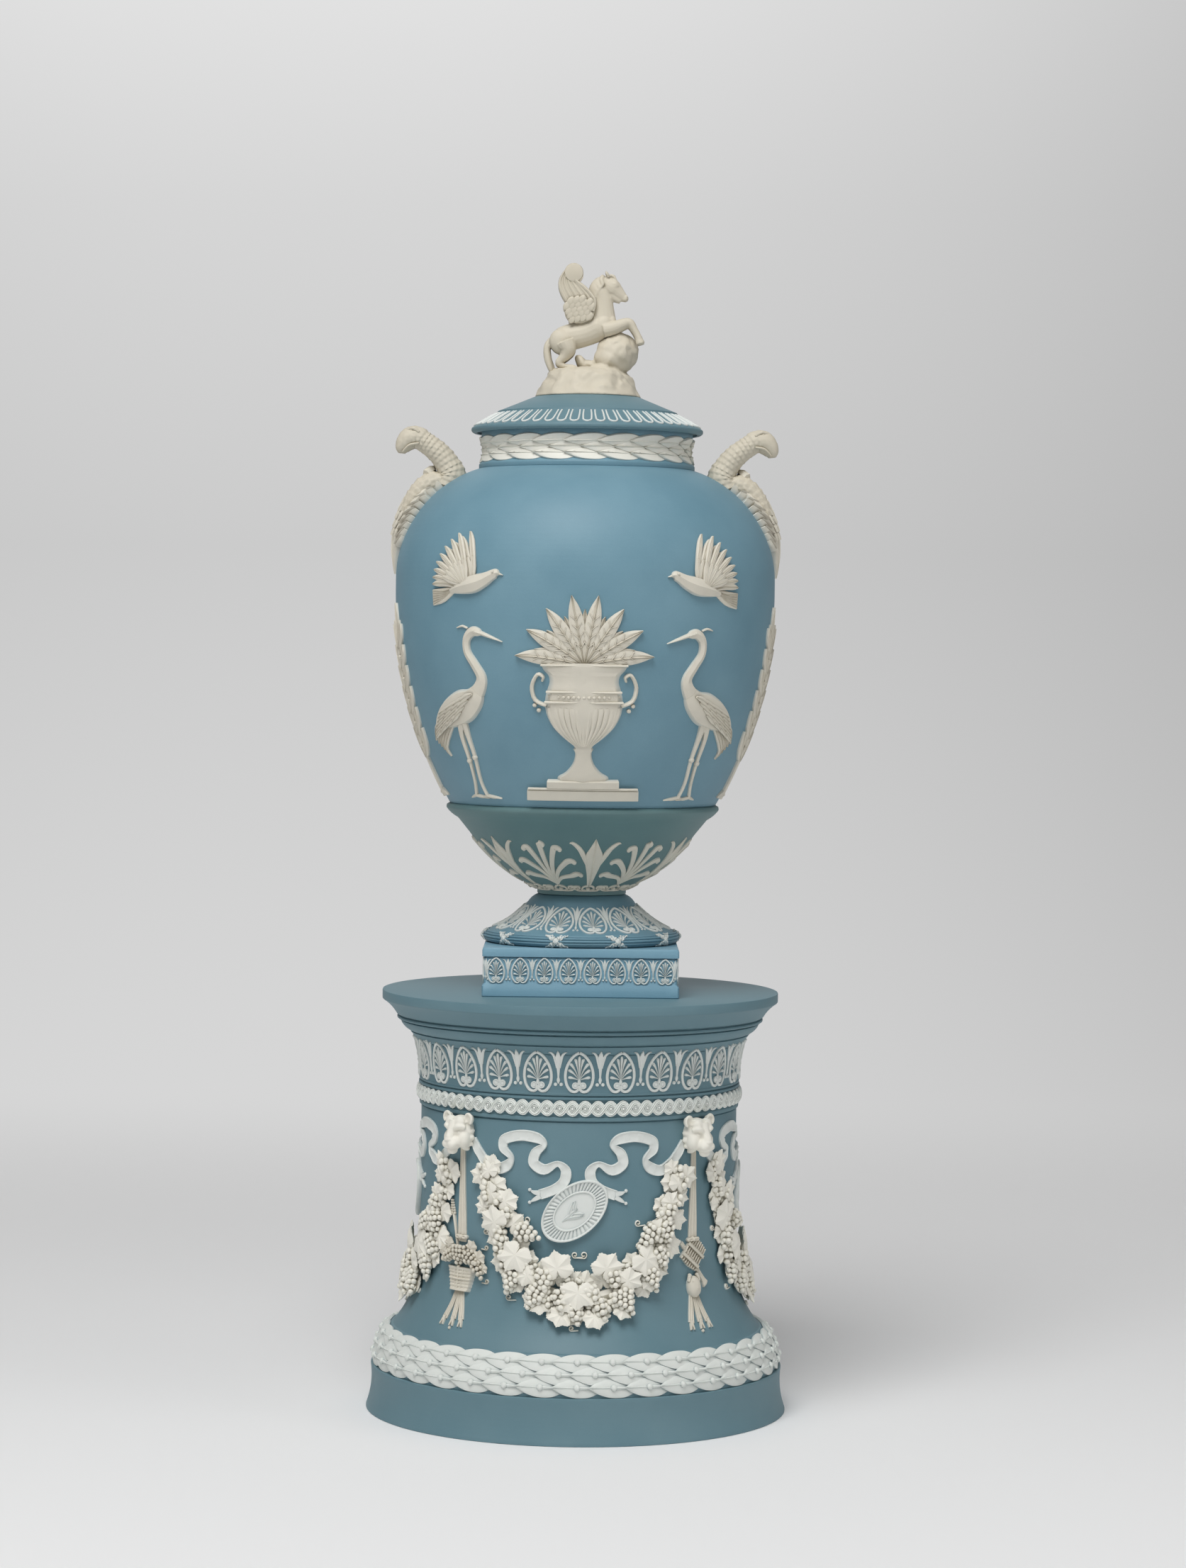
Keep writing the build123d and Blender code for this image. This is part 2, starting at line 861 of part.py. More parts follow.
for name, motif, start in (("basket_trophy", basket, -45), ("pipe_trophy", pan_pipes, 45)):
    trophy = sprig(motif.sketch, shaft_layer, shaft_reach, z_trophy)
    for index in range(2):
        pieces[f"{name}_{index + 1}"] = turned(trophy, start + index * 2 * quarter)

# Plinth
with BuildPart() as plinth:
    with BuildSketch(Plane.XY.offset(z_plinth)):
        Rectangle(plinth_side, plinth_side)
    extrude(amount=plinth_foot_height)
    with BuildSketch(Plane.XY.offset(z_plinth_frieze)):
        Rectangle(2 * plinth_face, 2 * plinth_face)
    extrude(amount=plinth_frieze_height)
    with BuildSketch(Plane.XY.offset(z_slab)):
        Rectangle(2 * (plinth_face + slab_overhang), 2 * (plinth_face + slab_overhang))
    extrude(amount=plinth_slab_height)
    fillet(plinth.edges().group_by(Axis.Z)[-1], slab_edge)
    with BuildSketch(Plane.XY.offset(z_plinth)):
        Circle(nut_recess_radius)
    extrude(amount=nut_recess_depth, mode=Mode.SUBTRACT)
    with BuildSketch(Plane.XY.offset(z_plinth)):
        Circle(bolt_hole)
    extrude(amount=z_foot - z_plinth, mode=Mode.SUBTRACT)
pieces["plinth"] = plinth.part

plinth_pitch = 2 * plinth_face / plinth_count
plinth_front = front(plinth_face + slip + plinth_relief, z_plinth_frieze + slip)
with BuildPart() as palmette_row:
    with BuildSketch(plinth_front):
        with GridLocations(plinth_pitch, 1, plinth_count, 1):
            add(palmette(plinth_palmette_width, plinth_palmette_height, plinth_frame))
    extrude(amount=-plinth_relief)
pieces["plinth_palmettes"] = ring_of(palmette_row.part, 4)
with BuildPart() as lotus_row:
    with BuildSketch(plinth_front):
        with GridLocations(plinth_pitch, 1, plinth_count - 1, 1):
            add(lotus(plinth_lotus_width, plinth_lotus_height))
    extrude(amount=-plinth_relief)
pieces["plinth_lotuses"] = ring_of(lotus_row.part, 4)

# Foot
with BuildPart() as foot:
    with BuildSketch(Plane.XZ):
        with BuildLine():
            for index in range(reed_count):
                ThreePointArc(
                    on_reeds(index / reed_count, reed_arc),
                    on_reeds((index + 0.5) / reed_count, reed_arc + reed_depth),
                    on_reeds((index + 1) / reed_count, reed_arc),
                )
            ogee = ogee_line(0)
            Line(on_reeds(1, reed_arc), ogee[0])
            Polyline(
                ogee[1],
                (bolt_hole, z_bowl),
                (bolt_hole, z_foot + foot_hollow_height),
                (foot_hollow_radius, z_foot),
                (on_reeds(0, reed_arc)[0], z_foot),
                on_reeds(0, reed_arc),
            )
        make_face()
    revolve(axis=Axis.Z)
pieces["foot"] = foot.part

foot_layer = skin(ogee_line, foot_relief)
foot_reach = reed_radius * 1.2
foot_pitch = 360 / foot_count
pieces["foot_palmettes"] = ring_of(
    sprig(palmette(foot_palmette_width, foot_palmette_rise, foot_frame), foot_layer, foot_reach, z_ogee),
    foot_count,
)
pieces["foot_lotuses"] = ring_of(
    sprig(lotus(foot_lotus_width, foot_palmette_rise), foot_layer, foot_reach, z_ogee),
    foot_count,
    foot_pitch / 2,
)

with BuildSketch() as crossing:
    for side in (-1, 1):
        with BuildLine():
            Line((-side * reed_band_height * 0.7, 0), (side * reed_band_height * 0.7, reed_band_height))
        trace(line_width=crossing_width)
pieces["foot_ribbons"] = ring_of(
    sprig(crossing.sketch, skin(reed_line, crossing_relief), foot_reach, z_foot), crossing_count, foot_pitch
)

# Bowl
with BuildPart() as bowl:
    with BuildSketch(Plane.XZ):
        with BuildLine():
            curve = bowl_line(0)
            Polyline((bolt_hole, z_bowl), (bowl_ring_radius, z_bowl), curve[0])
            Line(curve[1], (bowl_band_radius, z_bowl_band))
            ThreePointArc(
                (bowl_band_radius, z_bowl_band), (ridge_radius, z_ridge), (body_foot_radius, z_body)
            )
            Line((body_foot_radius, z_body), (body_foot_radius - bowl_wall, z_body))
            SagittaArc(
                (body_foot_radius - bowl_wall, z_body), (bowl_floor_radius, z_bowl + bowl_floor), bowl_swell
            )
            Polyline(
                (bowl_floor_radius, z_bowl + bowl_floor),
                (bolt_hole, z_bowl + bowl_floor),
                (bolt_hole, z_bowl),
            )
        make_face()
    revolve(axis=Axis.Z)
pieces["bowl"] = bowl.part

bowl_layer = skin(bowl_line, bowl_relief)
bowl_reach = ridge_radius * 1.2
bowl_pitch = 360 / bowl_count
pieces["bowl_lotuses"] = ring_of(
    sprig(
        lotus(bowl_lotus_width, bowl_lotus_height), bowl_layer, bowl_reach, z_bowl_curve + bowl_lotus_lift
    ),
    bowl_count,
    bowl_turn,
)
with BuildSketch() as frond:
    for turn, reach in ((-46, 0.55), (-23, 0.78), (0, 1.0), (23, 0.78), (46, 0.55)):
        with Locations(Location((0, 0, 0), turn)):
            Ellipse(frond_width / 2, frond_length * reach / 2, align=(Align.CENTER, Align.MIN))
pieces["bowl_palmettes"] = ring_of(
    sprig(frond.sketch, bowl_layer, bowl_reach, z_bowl_curve + frond_lift),
    bowl_count,
    bowl_turn + bowl_pitch / 2,
)
scroll_line = [(1.5, 0.4), (4.0, 3.0), (7.0, 2.6), (8.6, 0.6)]
half_scroll = sprig(stroke(scroll_line, scroll_width), bowl_layer, bowl_reach, z_bowl_curve)
with BuildPart() as scroll:
    add(half_scroll)
    mirror(about=Plane.YZ)
pieces["bowl_scrolls"] = ring_of(scroll.part, bowl_count, bowl_turn)

# Body
with BuildPart() as body:
    with BuildSketch(Plane.XZ):
        with BuildLine():
            wall = body_line(0)
            Polyline(wall[1], (mouth_radius, z_neck), (mouth_radius, z_neck - body_wall))
            TangentArc(
                (body_radius - body_wall, z_shoulder),
                (mouth_radius, z_neck - body_wall),
                tangent=(0, 1),
            )
            Line((body_radius - body_wall, z_shoulder), (body_radius - body_wall, z_belly))
            TangentArc(
                (body_radius - body_wall, z_belly), (body_foot_radius - bowl_wall, z_body), tangent=(0, -1)
            )
            Line((body_foot_radius - bowl_wall, z_body), wall[0])
        make_face()
    revolve(axis=Axis.Z)
pieces["body"] = body.part

# Main field
body_core = core(body_line)
field_layer = skin(body_line, field_relief)
body_reach = body_radius * 1.2
z_field = z_body + field_foot
urn_relief = sprig(urn_motif(), field_layer, body_reach, z_field)
for index in range(2):
    pieces[f"urn_relief_{index + 1}"] = turned(urn_relief, index * 2 * quarter)


def facing_pairs(motif, lift, turn):
    """A motif that looks right, set left of the middle, with its mirror image, front and back."""
    left = turned(sprig(motif, field_layer, body_reach, lift), -turn)
    with BuildPart() as pair:
        add(left)
        mirror(about=Plane.YZ)
    return ring_of(pair.part, 2)


pieces["crane_reliefs"] = facing_pairs(crane_motif(), z_field, crane_turn)
pieces["dove_reliefs"] = facing_pairs(dove_motif(), z_field + dove_height, dove_turn)
pieces["tree_reliefs"] = facing_pairs(tree_motif(), z_field, tree_turn)

# Neck
with BuildPart() as neck_collar:
    with BuildSketch(Plane.XZ):
        with BuildLine():
            waist = neck_line(0)
            Polyline(
                (neck_bore, z_neck),
                (neck_seat_radius, z_neck),
                (neck_seat_radius, z_neck + neck_fillet_height - neck_step),
                waist[0],
            )
            Polyline(waist[1], (neck_radius, z_lid), (neck_bore, z_lid), (neck_bore, z_neck))
        make_face()
    revolve(axis=Axis.Z)
pieces["neck_collar"] = neck_collar.part
pieces["neck_laurel_band"] = skin(neck_line, neck_relief)

# Handles: a leaf that hugs the shoulder and two serpents that rise from it
leaf_outline = leaf(leaf_width, leaf_height)
leaf_layer = skin(body_line, leaf_proud)
with BuildPart() as leaf_mount:
    with BuildSketch(front(body_reach, z_neck - leaf_drop)):
        add(leaf_outline, rotation=180)
    extrude(amount=-body_reach)
    add(leaf_layer, mode=Mode.INTERSECT)
leaf_right = turned(leaf_mount.part, quarter)

# Serpent stations: out from the axis, up from the neck's seat, and the radius there
serpent_neck = [
    (75.0, -10.0, 7.6),
    (72.8, -3.0, 7.2),
    (75.6, 4.6, 6.4),
    (81.0, 9.4, 5.3),
    (87.0, 13.0, 5.0),
    (92.5, 16.6, 5.6),
    (96.4, 19.4, 4.0),
    (98.4, 20.8, 1.8),
]
serpent_coil = [
    (76.0, -9.0, 6.2),
    (82.5, -8.6, 6.2),
    (88.0, -12.0, 6.0),
    (92.5, -18.0, 5.4),
    (96.0, -25.0, 4.4),
]
serpent_limbs = []
for side in (-1, 1):
    for stations in (serpent_neck, serpent_coil):
        places = [(out, side * serpent_spread, z_neck + up, radius) for out, up, radius in stations]
        serpent_limbs.append(limb(places))
with BuildPart() as serpents:
    add(serpent_limbs)
    add(body_core, mode=Mode.SUBTRACT)
    add(leaf_right, mode=Mode.SUBTRACT)
for name, angle in (("right", 0), ("left", 180)):
    pieces[f"leaf_mount_{name}"] = turned(leaf_right, angle)
    pieces[f"serpents_{name}"] = turned(serpents.part, angle)

# Tie bolt, which holds the body on its foot and plinth
z_bolt_seat = z_bowl + bowl_floor + washer_thickness
z_nut_seat = z_plinth + nut_recess_depth - washer_thickness
with BuildPart() as tie_bolt:
    with BuildSketch(Plane.XY.offset(z_bolt_seat)):
        Circle(bolt_head_radius)
    extrude(amount=bolt_head_height)
    fillet(tie_bolt.edges().group_by(Axis.Z)[-1], bolt_head_height / 3)
    with BuildSketch(Plane.XY.offset(z_bolt_seat)):
        Circle(bolt_radius)
    extrude(amount=z_nut_seat - nut_height - bolt_tail - z_bolt_seat)
pieces["tie_bolt"] = tie_bolt.part
with BuildPart() as tie_nut:
    with BuildSketch(Plane.XY.offset(z_nut_seat)):
        Rectangle(nut_width, nut_width)
        Circle(bolt_radius + thread_gap, mode=Mode.SUBTRACT)
    extrude(amount=-nut_height)
    chamfer(tie_nut.edges().filter_by(Axis.Z), nut_width / 14)
pieces["tie_nut"] = tie_nut.part
for name, level in (("bowl_washer", z_bowl + bowl_floor), ("plinth_washer", z_nut_seat)):
    with BuildPart() as washer:
        with BuildSketch(Plane.XY.offset(level)):
            Circle(washer_radius)
            Circle(bolt_hole, mode=Mode.SUBTRACT)
        extrude(amount=washer_thickness)
    pieces[name] = washer.part

# Lid
flange_radius = neck_bore - flange_gap
with BuildPart() as lid:
    with BuildSketch(Plane.XZ):
        with BuildLine():
            rim = rim_line(0)
            Polyline(
                (0, z_mound - lid_wall),
                (0, z_mound),
                (mound_radius, z_mound),
                (tongue_inner_radius, z_dome),
                rim[1],
            )
            ThreePointArc(rim[0], (lid_radius, z_rim - rim_round), (lid_radius - rim_round, z_lid - lid_lip))
            Polyline(
                (lid_radius - rim_round, z_lid - lid_lip),
                (lid_radius - lid_lip_wall, z_lid - lid_lip),
                (lid_radius - lid_lip_wall, z_lid),
                (flange_radius, z_lid),
                (flange_radius, z_lid - flange_depth),
                (flange_radius - flange_wall, z_lid - flange_depth),
                (flange_radius - flange_wall, z_lid),
                (mound_radius, z_mound - lid_wall),
                (0, z_mound - lid_wall),
            )
        make_face()
    revolve(axis=Axis.Z)
pieces["lid"] = lid.part

rim_layer = skin(rim_line, tongue_relief)
tongue_length = lid_radius - rim_round - tongue_inner_radius
with BuildPart() as tongue:
    with BuildSketch(Plane.XY.offset(z_dome + tongue_rise)):
        with Locations((0, -tongue_inner_radius - tongue_length / 2)):
            SlotOverall(tongue_length * 0.86, tongue_width, rotation=90)
            SlotOverall(tongue_length * 0.56, tongue_width * 0.42, rotation=90, mode=Mode.SUBTRACT)
    extrude(amount=-3 * tongue_rise)
    add(rim_layer, mode=Mode.INTERSECT)
pieces["lid_tongues"] = ring_of(tongue.part, tongue_count)

# Finial: a rock with a boulder, and a winged horse that rears over it. Stations of the limbs are
# along, across and up from the top of the mound, with the radius there.
boulder = [(12.0, 0, -6.0, 10.5), (15.0, 0, 6.0, 10.0), (16.5, 0, 15.0, 8.2), (17.5, 0, 21.0, 3.6)]
torso = [
    (-15.6, 0, 15.0, 4.4),
    (-11.6, 0, 16.6, 8.0),
    (-2.0, 0, 20.0, 7.2),
    (7.0, 0, 24.0, 7.8),
    (12.0, 0, 26.4, 4.6),
]
neck = [(6.5, 0, 25.0, 7.0), (7.6, 0, 35.0, 5.2), (9.0, 0, 45.0, 4.0), (9.6, 0, 49.0, 2.6)]
head = [(7.8, 0, 48.4, 3.2), (12.0, 0, 46.4, 3.6), (16.4, 0, 42.4, 2.4), (19.6, 0, 39.6, 1.9)]
foreleg = [
    (8.0, 4.0, 23.0, 4.0),
    (14.0, 4.6, 25.4, 3.0),
    (21.0, 4.6, 27.6, 2.1),
    (24.6, 4.6, 21.5, 1.5),
    (26.6, 4.6, 16.6, 1.9),
]
thigh = [(-11.0, 3.6, 16.0, 5.0), (-9.4, 4.2, 12.0, 4.8), (-7.6, 4.6, 8.4, 2.9)]
gaskin = [(-6.4, 4.6, 9.2, 2.6), (-10.4, 4.6, 7.6, 2.4), (-13.0, 4.6, 5.6, 2.0)]
cannon = [(-13.6, 4.6, 6.6, 1.6), (-12.0, 4.6, 3.0, 1.5), (-10.4, 4.6, -0.4, 2.1)]
tail = [(-15.0, 0, 19.0, 2.0), (-19.6, 0, 14.0, 2.6), (-20.4, 0, 6.0, 2.4), (-19.0, 0, 0.5, 1.4)]
wing_edge = [
    (-4.0, 25.0),
    (4.6, 32.0),
    (0.6, 42.0),
    (-3.0, 51.0),
    (-4.0, 57.0),
    (-8.2, 58.6),
    (-13.4, 55.0),
    (-15.4, 48.0),
    (-13.2, 39.0),
    (-9.6, 30.0),
]


def raised(stations, side=1):
    return [(x, side * y, z_finial + z, radius) for x, y, z, radius in stations]


boulder_limb = limb(raised(boulder))
with BuildPart() as finial_rock:
    with BuildSketch(Plane.XZ):
        with BuildLine():
            Polyline((mound_top_radius, z_finial), (0, z_finial), (0, z_mound), (mound_radius, z_mound))
            SagittaArc((mound_radius, z_mound), (mound_top_radius, z_finial), -mound_swell)
        make_face()
    revolve(axis=Axis.Z)
    add(boulder_limb)
pieces["finial_rock"] = finial_rock.part

horse_limbs = [limb(raised(stations), horse_slim) for stations in (torso, neck, head, tail)]
for side in (-1, 1):
    for stations in (foreleg, thigh, gaskin, cannon):
        horse_limbs.append(limb(raised(stations, side)))
with BuildPart() as winged_horse:
    add(horse_limbs)
    add(finial_rock.part, mode=Mode.SUBTRACT)
pieces["winged_horse"] = winged_horse.part

with BuildPart() as wings:
    with BuildSketch(Plane.XZ.offset(wing_spread)):
        with BuildLine():
            Spline(*[(x, z_finial + z) for x, z in wing_edge], periodic=True)
        make_face()
    extrude(amount=wing_thickness)
    mirror(about=Plane.XZ)
    add(winged_horse.part, mode=Mode.SUBTRACT)
pieces["wings"] = wings.part

# Each piece goes to its own file, under its own name
os.makedirs("parts", exist_ok=True)
for name, piece in pieces.items():
    piece.label = name
    export_step(piece, f"parts/{name}.step")
print(len(pieces), "pieces, top of the finial's rock at", round(z_finial, 2))
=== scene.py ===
# %% [markdown]
# A covered urn vase of blue unglazed stoneware, with pressed white reliefs, on its own round pedestal.
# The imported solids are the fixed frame: every piece below is made in their place, in the same metres,
# and moves with one of three bodies, the pedestal, the vase and the lid.

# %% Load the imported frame
import bisect
import math
import random

import bmesh
import bpy
from mathutils import Matrix, Vector, noise


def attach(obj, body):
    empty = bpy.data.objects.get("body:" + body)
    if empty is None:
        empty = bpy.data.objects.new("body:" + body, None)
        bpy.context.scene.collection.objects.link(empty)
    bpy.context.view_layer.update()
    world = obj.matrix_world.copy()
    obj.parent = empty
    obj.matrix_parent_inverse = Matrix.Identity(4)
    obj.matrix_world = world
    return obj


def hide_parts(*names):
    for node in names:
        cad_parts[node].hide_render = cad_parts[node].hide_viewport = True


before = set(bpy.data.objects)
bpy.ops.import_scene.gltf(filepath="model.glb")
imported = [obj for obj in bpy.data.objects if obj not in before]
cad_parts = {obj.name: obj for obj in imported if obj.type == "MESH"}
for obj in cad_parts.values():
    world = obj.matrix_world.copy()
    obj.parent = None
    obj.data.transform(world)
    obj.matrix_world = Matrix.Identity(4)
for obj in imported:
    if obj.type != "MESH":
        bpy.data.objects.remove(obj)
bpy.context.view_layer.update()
MM = 0.001

# %% [markdown]
# Colours are written as they look on a screen, in hex, and shaders work in linear light, so one
# function turns the one into the other. A second small function adds a node with its settings and
# links, which keeps each material below readable from top to bottom.

# %% Colour and node helpers


def srgb(code):
    """A hex colour as linear red, green, blue and alpha."""
    parts = [int(code[i:i + 2], 16) / 255 for i in (1, 3, 5)]
    return [c / 12.92 if c <= 0.04045 else ((c + 0.055) / 1.055) ** 2.4 for c in parts] + [1]


def add_node(tree, kind, values=None, links=None, **settings):
    """One node, with its settings, its fixed inputs and its linked inputs."""
    node = tree.nodes.new(kind)
    for key, value in settings.items():
        setattr(node, key, value)
    for socket, value in (values or {}).items():
        node.inputs[socket].default_value = value
    for socket, source in (links or {}).items():
        tree.links.new(source, node.inputs[socket])
    return node


def per_mm(size):
    """The scale of a noise pattern whose features are about this many millimetres wide."""
    return 1 / (size * MM)


# %% [markdown]
# Every material starts from the same shader and from the place of a point on its own object. Most of them
# need a noise, a mix of two colours, a stretched value and a fine bump. One class gathers these, so a
# material below is a short list of what the eye is given.

# %% A new material


class Finish:
    """A new material with its shader, and short ways to add the nodes that most of them need."""

    def __init__(self, name):
        self.material = bpy.data.materials.new(name)
        self.material.use_nodes = True
        self.tree = self.material.node_tree
        self.shader = self.tree.nodes["Principled BSDF"]
        self.place = self.node("ShaderNodeTexCoord").outputs["Object"]

    def node(self, kind, values=None, links=None, **settings):
        return add_node(self.tree, kind, values, links, **settings)

    def feed(self, socket, source):
        """Sets an input to a number or a colour, or links it to the output of a node."""
        if isinstance(source, (int, float, list)):
            socket.default_value = source
        else:
            self.tree.links.new(source, socket)

    def noise(self, size, detail):
        """A noise whose features are about this many millimetres wide."""
        values = {"Scale": per_mm(size), "Detail": detail}
        return self.node("ShaderNodeTexNoise", values, {"Vector": self.place}).outputs["Fac"]

    def maths(self, operation, *sources, clamp=False):
        """One step of arithmetic on numbers and on outputs of nodes."""
        node = self.node("ShaderNodeMath", operation=operation, use_clamp=clamp)
        for socket, source in zip(node.inputs, sources):
            self.feed(socket, source)
        return node.outputs[0]

    def stretch(self, value, low, high, start=0, end=1):
        """A value that runs from start to end, stretched to run from low to high."""
        values = {"From Min": start, "From Max": end, "To Min": low, "To Max": high}
        return self.node("ShaderNodeMapRange", values, {"Value": value}).outputs["Result"]

    def mix(self, share, first, second):
        """A mix of two colours, the first from a hex code or a node and the second from a hex code."""
        node = self.node("ShaderNodeMix", {7: srgb(second)}, {0: share}, data_type="RGBA")
        self.feed(node.inputs[6], srgb(first) if isinstance(first, str) else first)
        return node.outputs[2]

    def bump(self, height, strength, depth):
        """A fine relief, this many millimetres deep."""
        values = {"Strength": strength, "Distance": depth * MM}
        return self.node("ShaderNodeBump", values, {"Height": height}).outputs["Normal"]

    def made(self, sources):
        """The material, with these inputs of its shader set."""
        for name, source in sources.items():
            self.feed(self.shader.inputs[name], source)
        return self.material


# %% [markdown]
# Unglazed stoneware is fired so hard that the bare clay takes a soft satin. The blue is a stain in the
# body: nearly even, with faint clouds as wide as a thumb and a fine grit. The turned walls also keep a
# trace of the lathe. A noise for the clouds, one for the grit and a wave for the lathe lines give that.

# %% Blue stoneware


def blue_stoneware(name, deep, pale, cloud_mm=38, grit_mm=0.7, lathe_mm=9):
    """Blue unglazed stoneware, turned: satin, faintly clouded, with fine grit and lathe lines."""
    coat = Finish(name)
    clouds, grit = coat.noise(cloud_mm, 4), coat.noise(grit_mm, 2)
    lathe = coat.node("ShaderNodeTexWave", {"Scale": per_mm(lathe_mm), "Distortion": 1.5},
                      {"Vector": coat.place}, bands_direction="Z").outputs["Fac"]
    colour = coat.node("ShaderNodeValToRGB", links={"Fac": coat.maths("MULTIPLY_ADD", grit, 0.22, clouds)})
    for element, position, code in zip(colour.color_ramp.elements, (0.35, 0.85), (deep, pale)):
        element.position = position
        element.color = srgb(code)
    skin = coat.maths("MULTIPLY_ADD", lathe, 0.25, grit)
    return coat.made({"Base Color": colour.outputs["Color"], "Roughness": coat.stretch(clouds, 0.46, 0.62),
                      "Normal": coat.bump(skin, 0.12, 0.25), "IOR": 1.5})


vase_blue = blue_stoneware("blue stoneware turned", "#6890A1", "#769CAC")
plinth_blue = blue_stoneware("blue stoneware paler", "#74A0B5", "#82ABBE")
# The bowl's darker, greener blue is painted shade: the bowl sits in shade under the body.
shaded_bowl_blue = blue_stoneware("blue stoneware turned shaded", "#5D7D80", "#678687")
pedestal_blue = blue_stoneware("blue stoneware turned greyer", "#61838E", "#6C8B95")
print("materials", vase_blue.name, pedestal_blue.name)

# %% [markdown]
# The reliefs are white clay, pressed in moulds and stuck on. They are matt, faintly warm, and where
# they thin out to an edge the blue shows through. Each relief's mesh carries an attribute, thin, that is
# 1 on the wall and 0 where the clay is thick, and the material mixes a blue by it. Deep creases hold a
# little dust, and the shade in them is painted into the colour: the Ambient Occlusion node finds the
# creases without any image texture, and there the clay is darkened towards a crease colour.

# %% White stoneware


def white_stoneware(name, body, pale, edge, crease, reach_mm, strength):
    """White unglazed stoneware, pressed: matt, with the blue wall showing through its thin edges."""
    coat = Finish(name)
    clouds, grit = coat.noise(7, 3), coat.noise(0.8, 2)
    # painted shade, with a little dust: the occlusion darkens the clay towards the crease colour
    hollow = coat.node("ShaderNodeAmbientOcclusion", {"Distance": reach_mm * MM}, samples=6,
                       only_local=True)
    depth = coat.stretch(hollow.outputs["AO"], strength, 0, 0.25, 0.85)
    thin = coat.node("ShaderNodeAttribute", attribute_name="thin").outputs["Fac"]
    clay = coat.mix(clouds, body, pale)
    dust_and_shade = coat.mix(depth, clay, crease)
    tinted = coat.mix(coat.maths("MULTIPLY", thin, 0.62), dust_and_shade, edge)
    return coat.made({"Base Color": tinted, "Roughness": coat.stretch(clouds, 0.55, 0.72),
                      "Normal": coat.bump(grit, 0.15, 0.2), "IOR": 1.5})


warm_white = white_stoneware("white stoneware pressed", "#D8D3C5", "#E4DECF", "#9DB4BC", "#90866F", 3, 0.9)
cool_white = white_stoneware("white stoneware pressed cooler", "#E0E5E1", "#E8EBE7", "#8AA4AD", "#7F9197",
                             1.6, 0.7)
# The paler copy below, for the garlands and the masks, is painted light: it matches the lit tops of these
# round reliefs.
lit_white = white_stoneware("white stoneware lit", "#F1EEE2", "#F8F5EA", "#A6B8BE", "#A39E8A", 3,
                               0.74)
# The two paler copies below, for the neck laurel and the plait, are painted light: they lift reliefs that
# lie in shade.
pale_white = white_stoneware("white stoneware pressed paler", "#ECEADF", "#F3F1E7", "#A6B8BE", "#7F7B68",
                             1.6, 0.8)
plait_white = white_stoneware("white stoneware plaited", "#F2F6F0", "#F8FAF6", "#A6B8BE", "#8C9998", 0.7,
                              0.62)
# The leafy copy has deeper painted shade in its creases, so that the leaves' edges show.
laurel_white = white_stoneware("white stoneware leafy", "#DFE4DF", "#E7EAE5", "#8AA4AD", "#6C8087", 2.4,
                               0.95)
# The darker, warmer copy below, for the serpents and the finial, is painted shade: these reliefs lie in
# shade.
shaded_white = white_stoneware("white stoneware shaded", "#CDC5B2", "#D9D1BF", "#9DB4BC", "#827859", 3, 0.9)
print("materials", warm_white.name, cool_white.name)

# %% [markdown]
# The foot and the body are held together by a hidden brass bolt with leather washers. They show only
# from below, so their solids stay and just get a finish: drawn brass with clouds of tarnish, and tanned
# leather with a pebbled grain.

# %% Brass and leather


def drawn_brass():
    """Drawn brass, a little dull: warm yellow, browner and rougher where it is tarnished."""
    coat = Finish("brass drawn")
    tarnish = coat.noise(4, 4)
    return coat.made({"Base Color": coat.mix(tarnish, "#A98B4C", "#8A6B35"),
                      "Roughness": coat.stretch(tarnish, 0.28, 0.5), "Metallic": 1})


def tanned_leather():
    """Vegetable-tanned leather: brown, pebbled, matt."""
    coat = Finish("leather tanned")
    grain = coat.node("ShaderNodeTexVoronoi", {"Scale": per_mm(0.9)}, {"Vector": coat.place})
    pebble = grain.outputs["Distance"]
    return coat.made({"Base Color": coat.mix(pebble, "#5C3D26", "#7A5636"), "Roughness": 0.7,
                      "Normal": coat.bump(pebble, 0.5, 0.3)})


brass, leather = drawn_brass(), tanned_leather()
for node, finish in (("tie_bolt", brass), ("tie_nut", brass), ("bowl_washer", leather),
                     ("plinth_washer", leather)):
    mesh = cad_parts[node].data
    mesh.materials.clear()
    mesh.materials.append(finish)
print("materials", brass.name, leather.name)

# %% [markdown]
# Every new piece gets the same last steps: a place in the scene, smooth shading with true edges kept
# sharp, a body to ride on, and the solid that it stands for.

# %% From points to a piece


def mesh_of(name, points, faces, thin=None):
    """A plain mesh from points in millimetres, merged where they meet, with its faces turned outwards."""
    mesh = bpy.data.meshes.new(name)
    mesh.from_pydata([(x * MM, y * MM, z * MM) for x, y, z in points], [], faces)
    if thin:
        mesh.attributes.new("thin", "FLOAT", "POINT").data.foreach_set("value", thin)
    shape = bmesh.new()
    shape.from_mesh(mesh)
    bmesh.ops.remove_doubles(shape, verts=shape.verts, dist=1e-6)
    bmesh.ops.recalc_face_normals(shape, faces=shape.faces)
    shape.to_mesh(mesh)
    shape.free()
    return mesh


def piece(mesh, material, body, *nodes, slot="white_stoneware", crisp=38):
    """The finished object of a mesh, riding on its body in place of its nodes."""
    mesh.materials.clear()
    mesh.materials.append(material)
    mesh.shade_smooth()
    mesh.set_sharp_from_angle(angle=math.radians(crisp))
    obj = bpy.data.objects.new(nodes[0] + "_clay", mesh)
    bpy.context.scene.collection.objects.link(obj)
    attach(obj, body)
    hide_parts(*nodes)


def read_off(table, key):
    """The value at a key in a table of rising keys, in a straight line between its rows."""
    for (k0, v0), (k1, v1) in zip(table, table[1:]):
        if key <= k1:
            break
    return v0 + (v1 - v0) * (key - k0) / (k1 - k0)


